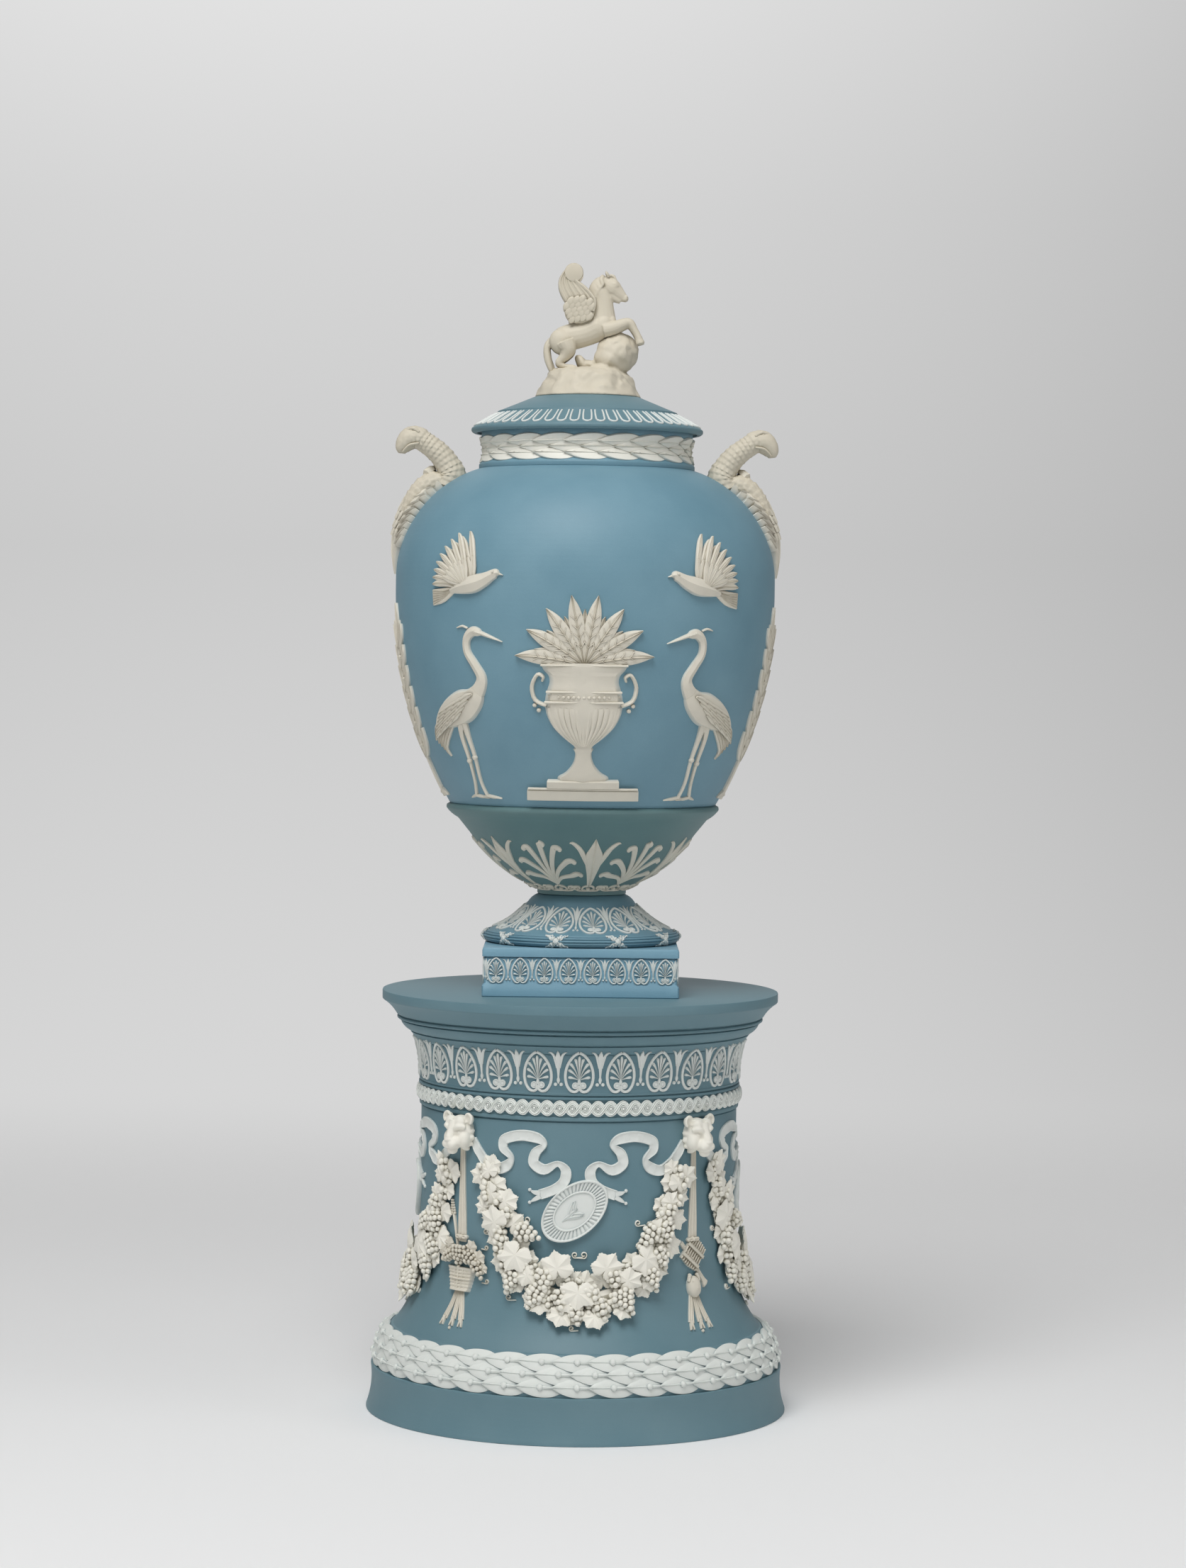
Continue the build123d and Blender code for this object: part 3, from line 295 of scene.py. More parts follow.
def tube_faces(first, rows, count):
    """The faces of a closed skin of rows of points, numbered from first, with a cap at both ends."""
    faces = []
    for j in range(rows - 1):
        here = first + j * count
        for k in range(count):
            n = (k + 1) % count
            faces.append((here + k, here + n, here + count + n, here + count + k))
    last = first + (rows - 1) * count
    return faces + [list(range(first, first + count))[::-1], list(range(last, last + count))]


# %% [markdown]
# The blue walls were thrown and turned, so each is one outline swept round the axis. An outline is a
# list of radius and height in millimetres. Three small functions draw its curves: a bow between two
# points, a flank that starts upright, and a softening of its corners, since turned clay has no knife
# edge.

# %% Outlines
AXIS = 0.01


def bow(start, end, out, steps=10):
    """Points from start to end on a curve that bulges out to the right of the way by this much."""
    dr, dz = end[0] - start[0], end[1] - start[1]
    length = math.hypot(dr, dz)
    line = []
    for i in range(steps + 1):
        t = i / steps
        lift = out * 4 * t * (1 - t) / length
        line.append((start[0] + dr * t + dz * lift, start[1] + dz * t - dr * lift))
    return line


def flank(upright, end, steps=24):
    """Points from a place where the wall stands upright to another, on one arc."""
    dr, dz = end[0] - upright[0], end[1] - upright[1]
    radius = (dr * dr + dz * dz) / (2 * abs(dr))
    line = []
    for i in range(steps + 1):
        rise = dz * i / steps
        sweep = radius - math.sqrt(radius * radius - rise * rise)
        line.append((upright[0] + math.copysign(sweep, dr), upright[1] + rise))
    return line


def soften(outline, radius=0.5):
    """A closed outline with each sharp corner cut into a small round of three points."""
    count = len(outline)
    soft = []
    for i, (r, z) in enumerate(outline):
        before, after = Vector(outline[i - 1]), Vector(outline[(i + 1) % count])
        here = Vector((r, z))
        to_before, to_after = before - here, after - here
        reach = min(radius, to_before.length * 0.4, to_after.length * 0.4)
        bend = math.pi - to_before.angle(to_after)
        if r < AXIS or bend < math.radians(25):
            soft.append((r, z))
            continue
        first = here + to_before.normalized() * reach
        last = here + to_after.normalized() * reach
        middle = (first + last) / 4 + here / 2
        soft += [tuple(first), tuple(middle), tuple(last)]
    return soft


def turned(node, outline, segments=240):
    """The mesh of an outline swept round the axis."""
    count = len(outline)
    points = []
    for k in range(segments):
        turn = math.tau * k / segments
        points += [(r * math.sin(turn), -r * math.cos(turn), z) for r, z in outline]
    faces = []
    for k in range(segments):
        here, there = k * count, (k + 1) % segments * count
        for i in range(count):
            j = (i + 1) % count
            corners = [here + i, there + i, there + j, here + j]
            if outline[i][0] < AXIS:
                corners.remove(there + i)
            if outline[j][0] < AXIS:
                corners.remove(there + j)
            if len(corners) > 2:
                faces.append(corners)
    return mesh_of(node, points, faces)


def wall_piece(node, outline, soft, blue, body):
    """A turned piece of blue clay, with the corners of its outline softened by a radius."""
    shape = turned(node, soften(outline, soft) if soft else outline)
    piece(shape, blue, body, node, slot="blue_stoneware")


print("a flank of", len(flank((102.3, 441.8), (71.8, 327.8))), "points")

# %% [markdown]
# The pedestal is three turned pieces: a plain base course, the drum with its flared foot and its stepped
# top, and the cornice with a fillet, a small hollow, a round, a fillet and a wide hollow under its edge.

# %% Pedestal walls
DRUM = 85.4
base_outline = bow((114, 0), (111.4, 24.5), -1.6) + [(98, 24.5), (98, 0)]
wall_piece("base_course", base_outline, 0.8, pedestal_blue, "pedestal")

laurel_ground = bow((109.4, 24.5), (100.4, 45.5), 1.9)
flare = flank((DRUM, 85), (99.4, 45.5))[::-1]
drum_outline = laurel_ground + flare
drum_outline += [(DRUM, 164.3), (84.7, 164.6), (84.7, 165), (86.4, 165.2), (86.4, 167.2), (85.7, 167.5),
                 (85.7, 176.2)]
drum_outline += [(86.9, 176.4), (86.9, 177.7), (85.5, 177.9), (85.5, 178.3), (86.6, 178.5), (86.6, 179.7)]
frieze_ground = bow((86.3, 179.9), (88.8, 200), -0.7, 8)
drum_outline += frieze_ground
drum_outline += [(77.4, 200), (77.4, 85)] + flank((77.4, 85), (98, 24.5))[1:]
wall_piece("pedestal_drum", drum_outline, 0.4, pedestal_blue, "pedestal")

cornice_foot = [(88.8, 200), (89.9, 201.9), (91.9, 204.3)]
cornice_outline = [(77, 200)] + cornice_foot + [(91.1, 204.6), (91.1, 205.1)]
cornice_outline += bow((92.7, 205.3), (97, 209.8), 0.6, 6) + [(97, 210.3), (96, 210.5), (96, 211),
                                                              (98.6, 211.2)]
cornice_outline += [(99, 211.6), (99, 212.7), (97.9, 213), (97.9, 213.5)]
cornice_outline += bow((99.4, 213.8), (107.1, 221.8), -0.7)
cornice_outline += [(107.1, 226.8), (0, 226.8), (0, 217.8), (68, 217.8), (68, 190), (77, 190)]
wall_piece("cornice", cornice_outline, 0.7, pedestal_blue, "pedestal")
print("pedestal walls", len(base_outline), len(drum_outline), len(cornice_outline), "points")

# %% [markdown]
# The vase is turned in the same way, but for its square plinth. The foot has five fine reeds on its
# rounded edge, drawn here as a wave along an arc, then an ogee up to the stem.

# %% Vase walls
reed_middle, reed_radius, reed_sweep = (50.08, 256.4), 3.17, math.radians(83.5)
reed_count, reed_depth, reed_steps = 5, 0.8, 60
reeds = []
for i in range(reed_steps + 1):
    turn = -reed_sweep + 2 * reed_sweep * i / reed_steps
    swell = abs(math.sin(reed_count * math.pi * i / reed_steps)) ** 0.6
    reach = reed_radius + reed_depth * (swell - 1)
    reeds.append((reed_middle[0] + reach * math.cos(turn), reed_middle[1] + reach * math.sin(turn)))
foot_slope = bow((48.8, 260), (29.2, 274), -1.4, 12) + bow((29.2, 274), (22.6, 279.2), 0.9, 6)[1:]
foot_outline = [(49.8, 252.8)] + reeds + foot_slope + [(4.5, 279.2), (4.5, 266.8), (27, 252.8)]
wall_piece("foot", foot_outline, 0, vase_blue, "vase")

bowl_slope = bow((24, 281.8), (61.2, 312.2), 3.2, 16) + [(67.4, 319.8)]
bowl_outline = [(4.5, 279.2), (24, 279.2)] + bowl_slope
bowl_outline += bow(bowl_slope[-1], (73.7, 325.2), 0.5, 4)[1:] + [(73.5, 326.9), (71.8, 327.8)]
bowl_outline += [(63.8, 327.8)] + bow((63.8, 327.8), (16, 288.2), -6, 12)[1:] + [(4.5, 288.2)]
wall_piece("bowl", bowl_outline, 0.5, shaded_bowl_blue, "vase")

belly = flank((102.3, 441.8), (71.8, 327.8), 40)[::-1]
shoulder = flank((102.3, 447.8), (58.2, 507.8), 40)
body_outline = belly + shoulder + [(49.5, 507.8), (49.5, 500.3)]
body_outline += flank((94.8, 447.8), (49.5, 500.3), 24)[::-1][1:] + flank((94.8, 441.8), (63.8, 327.8), 30)
wall_piece("body", body_outline, 0.4, vase_blue, "vase")

neck_hollow = bow((57, 511.4), (57, 525), -2.4)
neck_outline = [(50, 507.8), (58.2, 507.8), (58.2, 510.2)] + neck_hollow + [(57, 528.2), (50, 528.2)]
wall_piece("neck_collar", neck_outline, 0.4, vase_blue, "vase")

lid_slope = [(61.3, 530.4), (48.6, 538)]
lid_outline = [(59.3, 527), (61.3, 527), (62.5, 528), (62.5, 529.6)] + lid_slope + [(48.6, 538.7)]
lid_outline += [(28.6, 546.9), (0, 546.9), (0, 541.4)]
lid_outline += [(28.6, 541.4), (45.2, 528.2), (45.2, 516.2), (49.2, 516.2), (49.2, 528.2), (59.3, 528.2)]
wall_piece("lid", lid_outline, 0.5, pedestal_blue, "lid")
print("vase walls", len(foot_outline), len(bowl_outline), len(body_outline), len(neck_outline),
      len(lid_outline))

# %% [markdown]
# The reliefs were pressed in flat moulds and bent to the wall while soft, and the code does the same.
# Each ornament is drawn flat, in millimetres across and up, with a height, and a Wall then bends it on.

# %% Walls that carry reliefs


class Wall:
    """A turned wall, from its outline, that bends flat places onto itself. Heights count from a datum."""

    def __init__(self, outline, datum=0):
        self.outline, self.datum, self.run = outline, datum, [0.0]
        for (r0, z0), (r1, z1) in zip(outline, outline[1:]):
            self.run.append(self.run[-1] + math.hypot(r1 - r0, z1 - z0))
        self.rise = [(z, run) for (r, z), run in zip(outline, self.run)]

    def level(self, height):
        """How far along the wall a height lies, on an outline that only rises."""
        return read_off(self.rise, self.datum + height)

    def at(self, x, y, h):
        """The point x across and y along the wall from its foot, lifted by h."""
        i = max(0, min(bisect.bisect_right(self.run, y) - 1, len(self.run) - 2))
        (r0, z0), (r1, z1) = self.outline[i], self.outline[i + 1]
        span = self.run[i + 1] - self.run[i]
        t = (y - self.run[i]) / span
        r = r0 + (r1 - r0) * t
        turn = x / r
        reach = r + (z1 - z0) / span * h
        return reach * math.sin(turn), -reach * math.cos(turn), z0 + (z1 - z0) * t + (r0 - r1) / span * h


class Board:
    """A flat upright wall that faces the front, such as a side of the plinth."""

    def __init__(self, reach, foot):
        self.reach, self.foot = reach, foot

    def at(self, x, y, h):
        return x, -self.reach - h, self.foot + y


# %% [markdown]
# One class gathers the clay of a relief. Its basic act is to join rings of points into a closed skin. A
# stroke is such a skin along a smooth line, with its own cross section, and a boss is one about a middle.
# The foot of each is sunk a little into the wall, as stuck clay is, so no gap shows from any side.

# %% Pressed clay
SUNK = -0.3
THICK = 0.45
ROUND = [(-1, 0), (-0.82, 0.62), (0, 1), (0.82, 0.62), (1, 0)]
VEINED = [(-1, 0), (-0.95, 0.42), (-0.5, 0.74), (-0.1, 0.62), (0, 0.95), (0.1, 0.62), (0.5, 0.74),
          (0.95, 0.42), (1, 0)]
REEDED = [(-1, 0), (-0.96, 0.6), (-0.7, 0.85), (-0.38, 0.55), (0, 1), (0.38, 0.55), (0.7, 0.85),
          (0.96, 0.6), (1, 0)]
RIDGED = [(-1, 0), (-0.97, 0.5), (-0.55, 0.76), (-0.1, 0.78), (0, 1), (0.1, 0.78), (0.55, 0.76),
          (0.97, 0.5), (1, 0)]
BANDED = [(-1, 0), (-0.98, 0.85), (-0.84, 1), (-0.7, 0.72), (0, 0.62), (0.7, 0.72), (0.84, 1), (0.98, 0.85),
          (1, 0)]
PLAIN = [(-1, 0), (-0.94, 0.75), (-0.75, 1), (0.75, 1), (0.94, 0.75), (1, 0)]


def flow(points, steps=5):
    """A smooth line through points of any number of values (Catmull-Rom)."""
    ends = [points[0]] + list(points) + [points[-1]]
    line = []
    for a, b, c, d in zip(ends, ends[1:], ends[2:], ends[3:]):
        for k in range(steps):
            t = k / steps
            spot = []
            for p, q, r, s in zip(a, b, c, d):
                square, cube = 2 * p - 5 * q + 4 * r - s, 3 * q - p - 3 * r + s
                spot.append((2 * q + (r - p) * t + square * t * t + cube * t ** 3) / 2)
            line.append(spot)
    return line + [list(points[-1])]


def way_at(line, i):
    """The way that a line takes at one of its points, from the point before to the point after."""
    before, after = line[max(i - 1, 0)], line[min(i + 1, len(line) - 1)]
    return after[0] - before[0], after[1] - before[1]


def blade(x, y, long, turn, rows, wide, high, bend=0):
    """Stations of a leaf or feather that starts one way and bends, from rows of share and width."""
    line = []
    for t, w in rows:
        way = turn + bend * t
        line.append((x + long * t * math.cos(way), y + long * t * math.sin(way), wide * w, high))
    return line


class Clay:
    """Pressed clay on a wall, as closed skins of points of x, y and height."""

    def __init__(self, wall):
        self.wall, self.points, self.thin, self.faces = wall, [], [], []
        self.sheer = True

    def skin(self, rings):
        """Rings of the same number of points, joined and capped at both ends."""
        self.faces += tube_faces(len(self.points), len(rings), len(rings[0]))
        for ring in rings:
            for x, y, h in ring:
                self.points.append(self.wall.at(x, y, h))
                self.thin.append(min(1, max(0, 1 - h / THICK)) if self.sheer else 0)

    def stroke(self, stations, section=ROUND, steps=4, lift=0, side=1):
        """A band along stations of x, y, half width and height, mirrored by a side of -1."""
        line = flow([(side * x, y, w, h) for x, y, w, h in stations], steps)
        rings = []
        for i, (x, y, w, h) in enumerate(line):
            dx, dy = way_at(line, i)
            length = math.hypot(dx, dy) or 1
            ring = []
            for u, v in section:
                high = lift + h * v if v else lift + SUNK
                ring.append((x - dy / length * w * u, y + dx / length * w * u, high))
            rings.append(ring)
        self.skin(rings)

    def draw(self, stations, section=ROUND, steps=4, lift=0, side=1):
        """A stroke whose stations give true heights instead of ways along the wall."""
        placed = [(x, self.wall.level(z), w, h) for x, z, w, h in stations]
        self.stroke(placed, section, steps, lift, side)

    def dot(self, x, z, radius, lift):
        """A small pellet at a true height."""
        self.bead(x, self.wall.level(z), radius, lift, 8)

    def boss(self, x, y, rows, sides=10, shape=None):
        """Rings about a middle, from rows of radius and height. A shape changes the radius by angle."""
        rings = []
        for radius, high in rows:
            ring = []
            for k in range(sides):
                turn = math.tau * k / sides
                reach = radius * (shape(turn) if shape else 1)
                ring.append((x + reach * math.cos(turn), y + reach * math.sin(turn), high))
            rings.append(ring)
        self.skin(rings)

    def bead(self, x, y, radius, lift=0, sides=10):
        """A small round pellet."""
        rows = [(1, SUNK), (1, 0.2), (0.84, 0.68), (0.48, 0.94), (0.12, 1)]
        self.boss(x, y, [(radius * r, lift + (radius * h if h > 0 else h)) for r, h in rows], sides)

    def mesh(self, name):
        return mesh_of(name, self.points, self.faces, self.thin)


# %% [markdown]
# The same motif goes round and round a wall, so one small node tree sets copies of it in a ring: points,
# an instance on each, turned by its share of the circle, made real, with the clay's material. The result
# is turned into a plain mesh, so nothing depends on the tree later.

# %% A ring of one motif


def new_tree(name, inputs):
    """A node tree for geometry with named inputs of some kinds, and the sockets of its input node."""
    tree = bpy.data.node_groups.new(name, "GeometryNodeTree")
    for key, kind in inputs.items():
        tree.interface.new_socket(key, in_out="INPUT", socket_type="NodeSocket" + kind)
    tree.interface.new_socket("Result", in_out="OUTPUT", socket_type="NodeSocketGeometry")
    return tree, add_node(tree, "NodeGroupInput").outputs


def end_tree(tree, copies, clay):
    """Ends a tree: the copies are made real and get their clay."""
    real = add_node(tree, "GeometryNodeRealizeInstances", links={0: copies.outputs[0]})
    coated = add_node(tree, "GeometryNodeSetMaterial", links={0: real.outputs[0], "Material": clay})
    add_node(tree, "NodeGroupOutput", links={0: coated.outputs[0]})


def plain_mesh(mesh, tree, values):
    """The mesh that a node tree with these inputs makes of another, with no modifier left."""
    carrier = bpy.data.objects.new(mesh.name + " carrier", mesh)
    bpy.context.scene.collection.objects.link(carrier)
    modifier = carrier.modifiers.new("tree", "NODES")
    modifier.node_group = tree
    for socket in tree.interface.items_tree:
        if socket.name in values:
            modifier[socket.identifier] = values[socket.name]
    made = bpy.data.meshes.new_from_object(carrier.evaluated_get(bpy.context.evaluated_depsgraph_get()))
    made.name = mesh.name
    bpy.data.objects.remove(carrier)
    return made


ring_tree, ring_in = new_tree("ring of one motif",
                              {"Motif": "Geometry", "Count": "Int", "Start turn": "Float",
                               "Clay": "Material"})
ring_points = add_node(ring_tree, "GeometryNodePoints", links={"Count": ring_in["Count"]})
ring_index = add_node(ring_tree, "GeometryNodeInputIndex")
ring_step = add_node(ring_tree, "ShaderNodeMath", {0: math.tau}, {1: ring_in["Count"]}, operation="DIVIDE")
ring_turn = add_node(ring_tree, "ShaderNodeMath", operation="MULTIPLY_ADD",
                     links={0: ring_index.outputs[0], 1: ring_step.outputs[0], 2: ring_in["Start turn"]})
ring_angle = add_node(ring_tree, "ShaderNodeCombineXYZ", links={"Z": ring_turn.outputs[0]})
ring_rotation = add_node(ring_tree, "FunctionNodeEulerToRotation", links={0: ring_angle.outputs[0]})
ring_copies = add_node(ring_tree, "GeometryNodeInstanceOnPoints",
                       links={"Points": ring_points.outputs[0], "Instance": ring_in["Motif"],
                              "Rotation": ring_rotation.outputs[0]})
end_tree(ring_tree, ring_copies, ring_in["Clay"])


def ring_piece(node, clay, count, white, body, start=0.0):
    """The piece of a motif set evenly round the axis, the first one turned by this many degrees."""
    values = {"Count": count, "Start turn": math.radians(start), "Clay": white}
    piece(plain_mesh(clay.mesh(node + " motif"), ring_tree, values), white, body, node)


def turned_copy(mesh, degrees):
    """A copy of a mesh, turned about the axis."""
    copy = mesh.copy()
    copy.transform(Matrix.Rotation(math.radians(degrees), 4, "Z"))
    return copy


print("ring tree of", len(ring_tree.nodes), "nodes")

# %% [markdown]
# The friezes on the drum, the plinth and the foot share two motifs: a palm leaf of thin petals with
# round ends in a pointed frame, whose foot turns into two scrolls, and a slender lotus with two horns.
# Both are strokes.

# %% Palmette and lotus


def palmette(clay, x, y, wide, high, relief, bold, pairs=4):
    """A palm leaf of one petal and some pairs in a pointed frame with a scrolled foot."""
    loop = [(0.02, 0.17), (0.03, 0.08), (0.09, 0.03), (0.18, 0.015), (0.3, 0.05), (0.42, 0.18),
            (0.47, 0.36), (0.45, 0.54), (0.37, 0.71), (0.24, 0.86), (0.1, 0.96), (0, 1)]
    fan = math.radians(118) / (pairs + 0.5)
    scroll_rows = [(1, SUNK), (1, 0.75), (0.8, 1), (0.58, 0.7), (0.4, 0.95), (0.1, 1.05)]
    for side in (-1, 1):
        clay.stroke([(x + side * wide * u, y + high * v, bold, relief) for u, v in loop], steps=3)
        clay.boss(x + side * wide * 0.125, y + high * 0.165,
                  [(wide * 0.12 * r, relief * h if h > 0 else h) for r, h in scroll_rows], 12)
        for k in range(1, pairs + 1):
            lean = fan * k
            tip_x = side * wide * (0.1 + 0.23 * math.sin(lean)) * min(1, k / 1.6)
            tip_y = high * (0.46 + 0.38 * math.cos(lean))
            clay.stroke([(x, y + high * 0.3, bold * 0.25, relief * 0.6),
                         (x + tip_x * 0.5, y + high * 0.3 + (tip_y - high * 0.3) * 0.62, bold * 0.5,
                          relief * 0.85), (x + tip_x, y + tip_y, bold * 1.05, relief * 1.1),
                         (x + tip_x + side * bold * 0.5, y + tip_y - bold * 0.6, bold * 0.5, relief * 0.8)],
                        steps=3)
    clay.stroke([(x, y + high * 0.32, bold * 0.3, relief * 0.6),
                 (x, y + high * 0.6, bold * 0.6, relief * 0.9), (x, y + high * 0.83, bold * 1.0, relief),
                 (x, y + high * 0.9, bold * 0.2, relief * 0.5)])
    clay.stroke([(x, y + high * 0.19, wide * 0.09, relief * 0.8),
                 (x, y + high * 0.27, wide * 0.055, relief * 0.9),
                 (x, y + high * 0.36, bold * 0.3, relief * 0.6)], steps=3)


def lotus(clay, x, y, wide, high, relief, sides=(-1, 1)):
    """A lotus: a slender trumpet with a pointed tip, two horns that curl outwards, a bud and two beads."""
    spear = [(0.2, 0.05), (0.34, 0.07), (0.55, 0.12), (0.73, 0.19), (0.87, 0.12), (1, 0.01)]
    clay.stroke([(x, y + high * v, wide * w, relief) for v, w in spear])
    horn = [(0.06, 0.5, 0.07), (0.14, 0.7, 0.09), (0.24, 0.85, 0.075), (0.37, 0.93, 0.05),
            (0.5, 0.95, 0.012)]
    for side in sides:
        clay.stroke([(x + side * wide * u, y + high * v, wide * w, relief * 0.9) for u, v, w in horn])
        clay.bead(x + side * wide * 0.15, y + high * 0.05, wide * 0.1, 0)
    clay.stroke([(x, y + high * 0.25, wide * 0.05, relief * 0.8), (x, y + high * 0.16, wide * 0.1, relief),
                 (x, y + high * 0.07, wide * 0.03, relief * 0.6)])


frieze_wall = Wall(frieze_ground + cornice_foot[1:])
frieze_count = 25
leaf_clay = Clay(frieze_wall)
palmette(leaf_clay, 0, 0.5, 15.4, 21.6, 1.1, 0.8)
ring_piece("drum_palmettes", leaf_clay, frieze_count, cool_white, "pedestal")
lotus_clay = Clay(frieze_wall)
lotus(lotus_clay, 0, 3.6, 9.8, 19.6, 1.0)
ring_piece("drum_lotuses", lotus_clay, frieze_count, cool_white, "pedestal", 180 / frieze_count)
print("drum frieze", len(leaf_clay.faces), "and", len(lotus_clay.faces), "faces a motif")

# %% [markdown]
# A plaited band runs under that frieze: two reeded strands that wave against each other, each over the
# other in turn, with a pellet in every eye. One wave of both strands is the motif of the ring.

# %% Guilloche
plait_waves, plait_swing, plait_half, plait_steps = 41, 2.85, 1.25, 16
plait_mean_radius = 86.1
plait_length = math.tau * plait_mean_radius / plait_waves
plait_wall = Wall(bow((85.7, 167.5), (85.7, 176.4), 1.0, 8))
plait_middle = plait_wall.run[-1] / 2
plait_clay = Clay(plait_wall)
for sign in (-1, 1):
    strand = []
    for k in range(plait_steps + 1):
        phase = math.tau * k / plait_steps
        strand.append((plait_length * k / plait_steps, plait_middle + sign * plait_swing * math.sin(phase),
                       plait_half, 1.4 + sign * 0.3 * math.cos(phase)))
    plait_clay.stroke(strand, REEDED, steps=1)
eye_rows = [(1.4, SUNK), (1.4, 1), (1.25, 1.4), (1.05, 1.4), (0.9, 0.7), (0.7, 0.7), (0.66, 1.3),
            (0.1, 1.6)]
for k in (0.25, 0.75):
    plait_clay.boss(plait_length * k, plait_middle, eye_rows, 10)
ring_piece("guilloche_band", plait_clay, plait_waves, plait_white, "pedestal")
print("plait of", plait_waves, "waves")

# %% [markdown]
# Two laurel bands, one on the pedestal's foot and one in the neck, are three rows of leaves that overlap
# like shingles, with the tips to the left. Each leaf lifts towards its tip. On the foot a berry with its
# stalk sits on every leaf, and in the neck small berries lie between the leaves.

# %% Laurel bands
base_leaves, base_mean_radius = 36, 105
neck_leaves, neck_mean_radius = 20, 55.5


def laurel(clay, pitch, rows, long, wide, relief, berry):
    """One leaf of every row, each row set half a pitch from the last and a little over the row below."""
    shape = [(0.5, 0.24, 0.1), (0.3, 0.45, 0.34), (0.1, 0.5, 0.6), (-0.1, 0.45, 0.8), (-0.3, 0.29, 0.95),
             (-0.42, 0.14, 1), (-0.5, 0.01, 0.9)]
    for row, y in enumerate(rows):
        x = pitch / 2 * (row % 2)
        lift = 0.1 * relief * row
        clay.stroke([(x + long * u, y, wide * w, relief * h) for u, w, h in shape], RIDGED, lift=lift)
        if berry:
            clay.bead(x + long * 0.03, y, berry, lift + relief * 0.55, 8)
            clay.stroke([(x + long * 0.04, y, berry * 0.6, relief * 0.5),
                         (x + long * 0.3, y, berry * 0.3, relief * 0.5)], lift=lift + relief * 0.35,
                        steps=3)


base_clay = Clay(Wall(laurel_ground))
laurel(base_clay, math.tau * base_mean_radius / base_leaves, (5.2, 11.45, 17.7), 25, 10.4, 2.9, 1.7)
ring_piece("base_laurel_band", base_clay, base_leaves, laurel_white, "pedestal")
neck_clay = Clay(Wall(neck_hollow))
laurel(neck_clay, math.tau * neck_mean_radius / neck_leaves, (3.2, 7.1, 11.0), 24, 8.0, 2.6, 0)
for x, y in ((11.0, 4.0), (2.0, 8.2), (10.5, 10.4)):
    neck_clay.bead(x, y, 0.75, 1.3, 8)
ring_piece("neck_laurel_band", neck_clay, neck_leaves, pale_white, "vase")
print("laurel leaves in a row", base_leaves, "and", neck_leaves)

# %% [markdown]
# The plinth is a low square block with a recessed band between two plain fillets. Its outline goes round
# a square instead of a circle, with a slightly blunt corner, and its underside has the round recess of
# the nut.

# %% Plinth


def square_loop(half, blunt=0.35):
    """Points round a square, close together near the corners, which are a little blunt."""
    loop = []
    for k in range(4):
        for t in (-1, -0.985, -0.85, -0.4, 0.4, 0.85, 0.985):
            reach = half - blunt if t == -1 else half
            loop.append(Matrix.Rotation(k * math.pi / 2, 2) @ Vector((reach * t, -reach)))
    return loop


plinth_steps = [(51.8, 226.8), (52.25, 227.3), (52.25, 232.4), (51, 234), (51, 247.4), (50.3, 247.5),
                (50.3, 248), (52.1, 248.2), (52.1, 251.6), (51.5, 252.8)]
square = square_loop(1)
plinth_points, plinth_faces = [], []
for half, z in plinth_steps:
    plinth_points += [(p.x, p.y, z) for p in square_loop(half)]
for radius, z in ((4.5, 252.8), (4.5, 238.8), (17, 238.8), (17, 226.8)):
    for corner in square:
        ray = corner.normalized() * radius
        plinth_points.append((ray.x, ray.y, z))
side_count = len(square)
row_count = len(plinth_points) // side_count
for j in range(row_count):
    low, high = j * side_count, (j + 1) % row_count * side_count
    for k in range(side_count):
        n = (k + 1) % side_count
        plinth_faces.append((low + k, low + n, high + n, high + k))
piece(mesh_of("plinth", plinth_points, plinth_faces), plinth_blue, "vase", "plinth", slot="blue_stoneware")

side_pitch = 12.8
plinth_wall = Board(51, 233.8)
side_palms, side_lotuses = Clay(plinth_wall), Clay(plinth_wall)
side_lotus = (1.6, 5.6, 11.8, 0.85)
for k in range(8):
    palmette(side_palms, (k - 3.5) * side_pitch, 0.4, 9.4, 13.2, 0.9, 0.5)
for k in range(7):
    lotus(side_lotuses, (k - 3) * side_pitch, *side_lotus)
for end in (1, -1):
    lotus(side_lotuses, end * (3.98 * side_pitch - 0.9), *side_lotus, (-end,))
ring_piece("plinth_palmettes", side_palms, 4, cool_white, "vase")
ring_piece("plinth_lotuses", side_lotuses, 4, cool_white, "vase")
print("plinth of", row_count, "rows, with reliefs on four sides")

# %% [markdown]
# The foot carries the same frieze on its slope, bent by the slope's own wall, and ten crossed ribbons tie
# its reeded edge, each with a flat knot where its two bands meet.

# %% Foot reliefs
slope_wall = Wall(foot_slope)
foot_palm, foot_lotus = Clay(slope_wall), Clay(slope_wall)
palmette(foot_palm, 0, 0.8, 15, 21.6, 0.95, 0.66)
lotus(foot_lotus, 0, 3.2, 7, 20.4, 0.9)
foot_turn, foot_count = 9, 14
ring_piece("foot_palmettes", foot_palm, foot_count, cool_white, "vase", foot_turn)
ring_piece("foot_lotuses", foot_lotus, foot_count, cool_white, "vase", foot_turn + 180 / foot_count)
tie_count, tie_turn = 10, 21.5
tie_wall = Wall(reeds)
tie_clay, tie_top = Clay(tie_wall), tie_wall.run[-1]
for side in (-1, 1):
    tie_clay.stroke([(-4.7, 0.2, 2.0, 0.6), (-2.2, tie_top * 0.28, 1.5, 0.75),
                     (0, tie_top * 0.5, 0.9, 0.95), (2.2, tie_top * 0.72, 1.5, 0.75),
                     (4.7, tie_top - 0.2, 2.0, 0.6)], BANDED, side=side)
tie_clay.boss(0, tie_top * 0.5, [(1.5, SUNK), (1.45, 0.9), (1.1, 1.25), (0.3, 1.3)], 10)
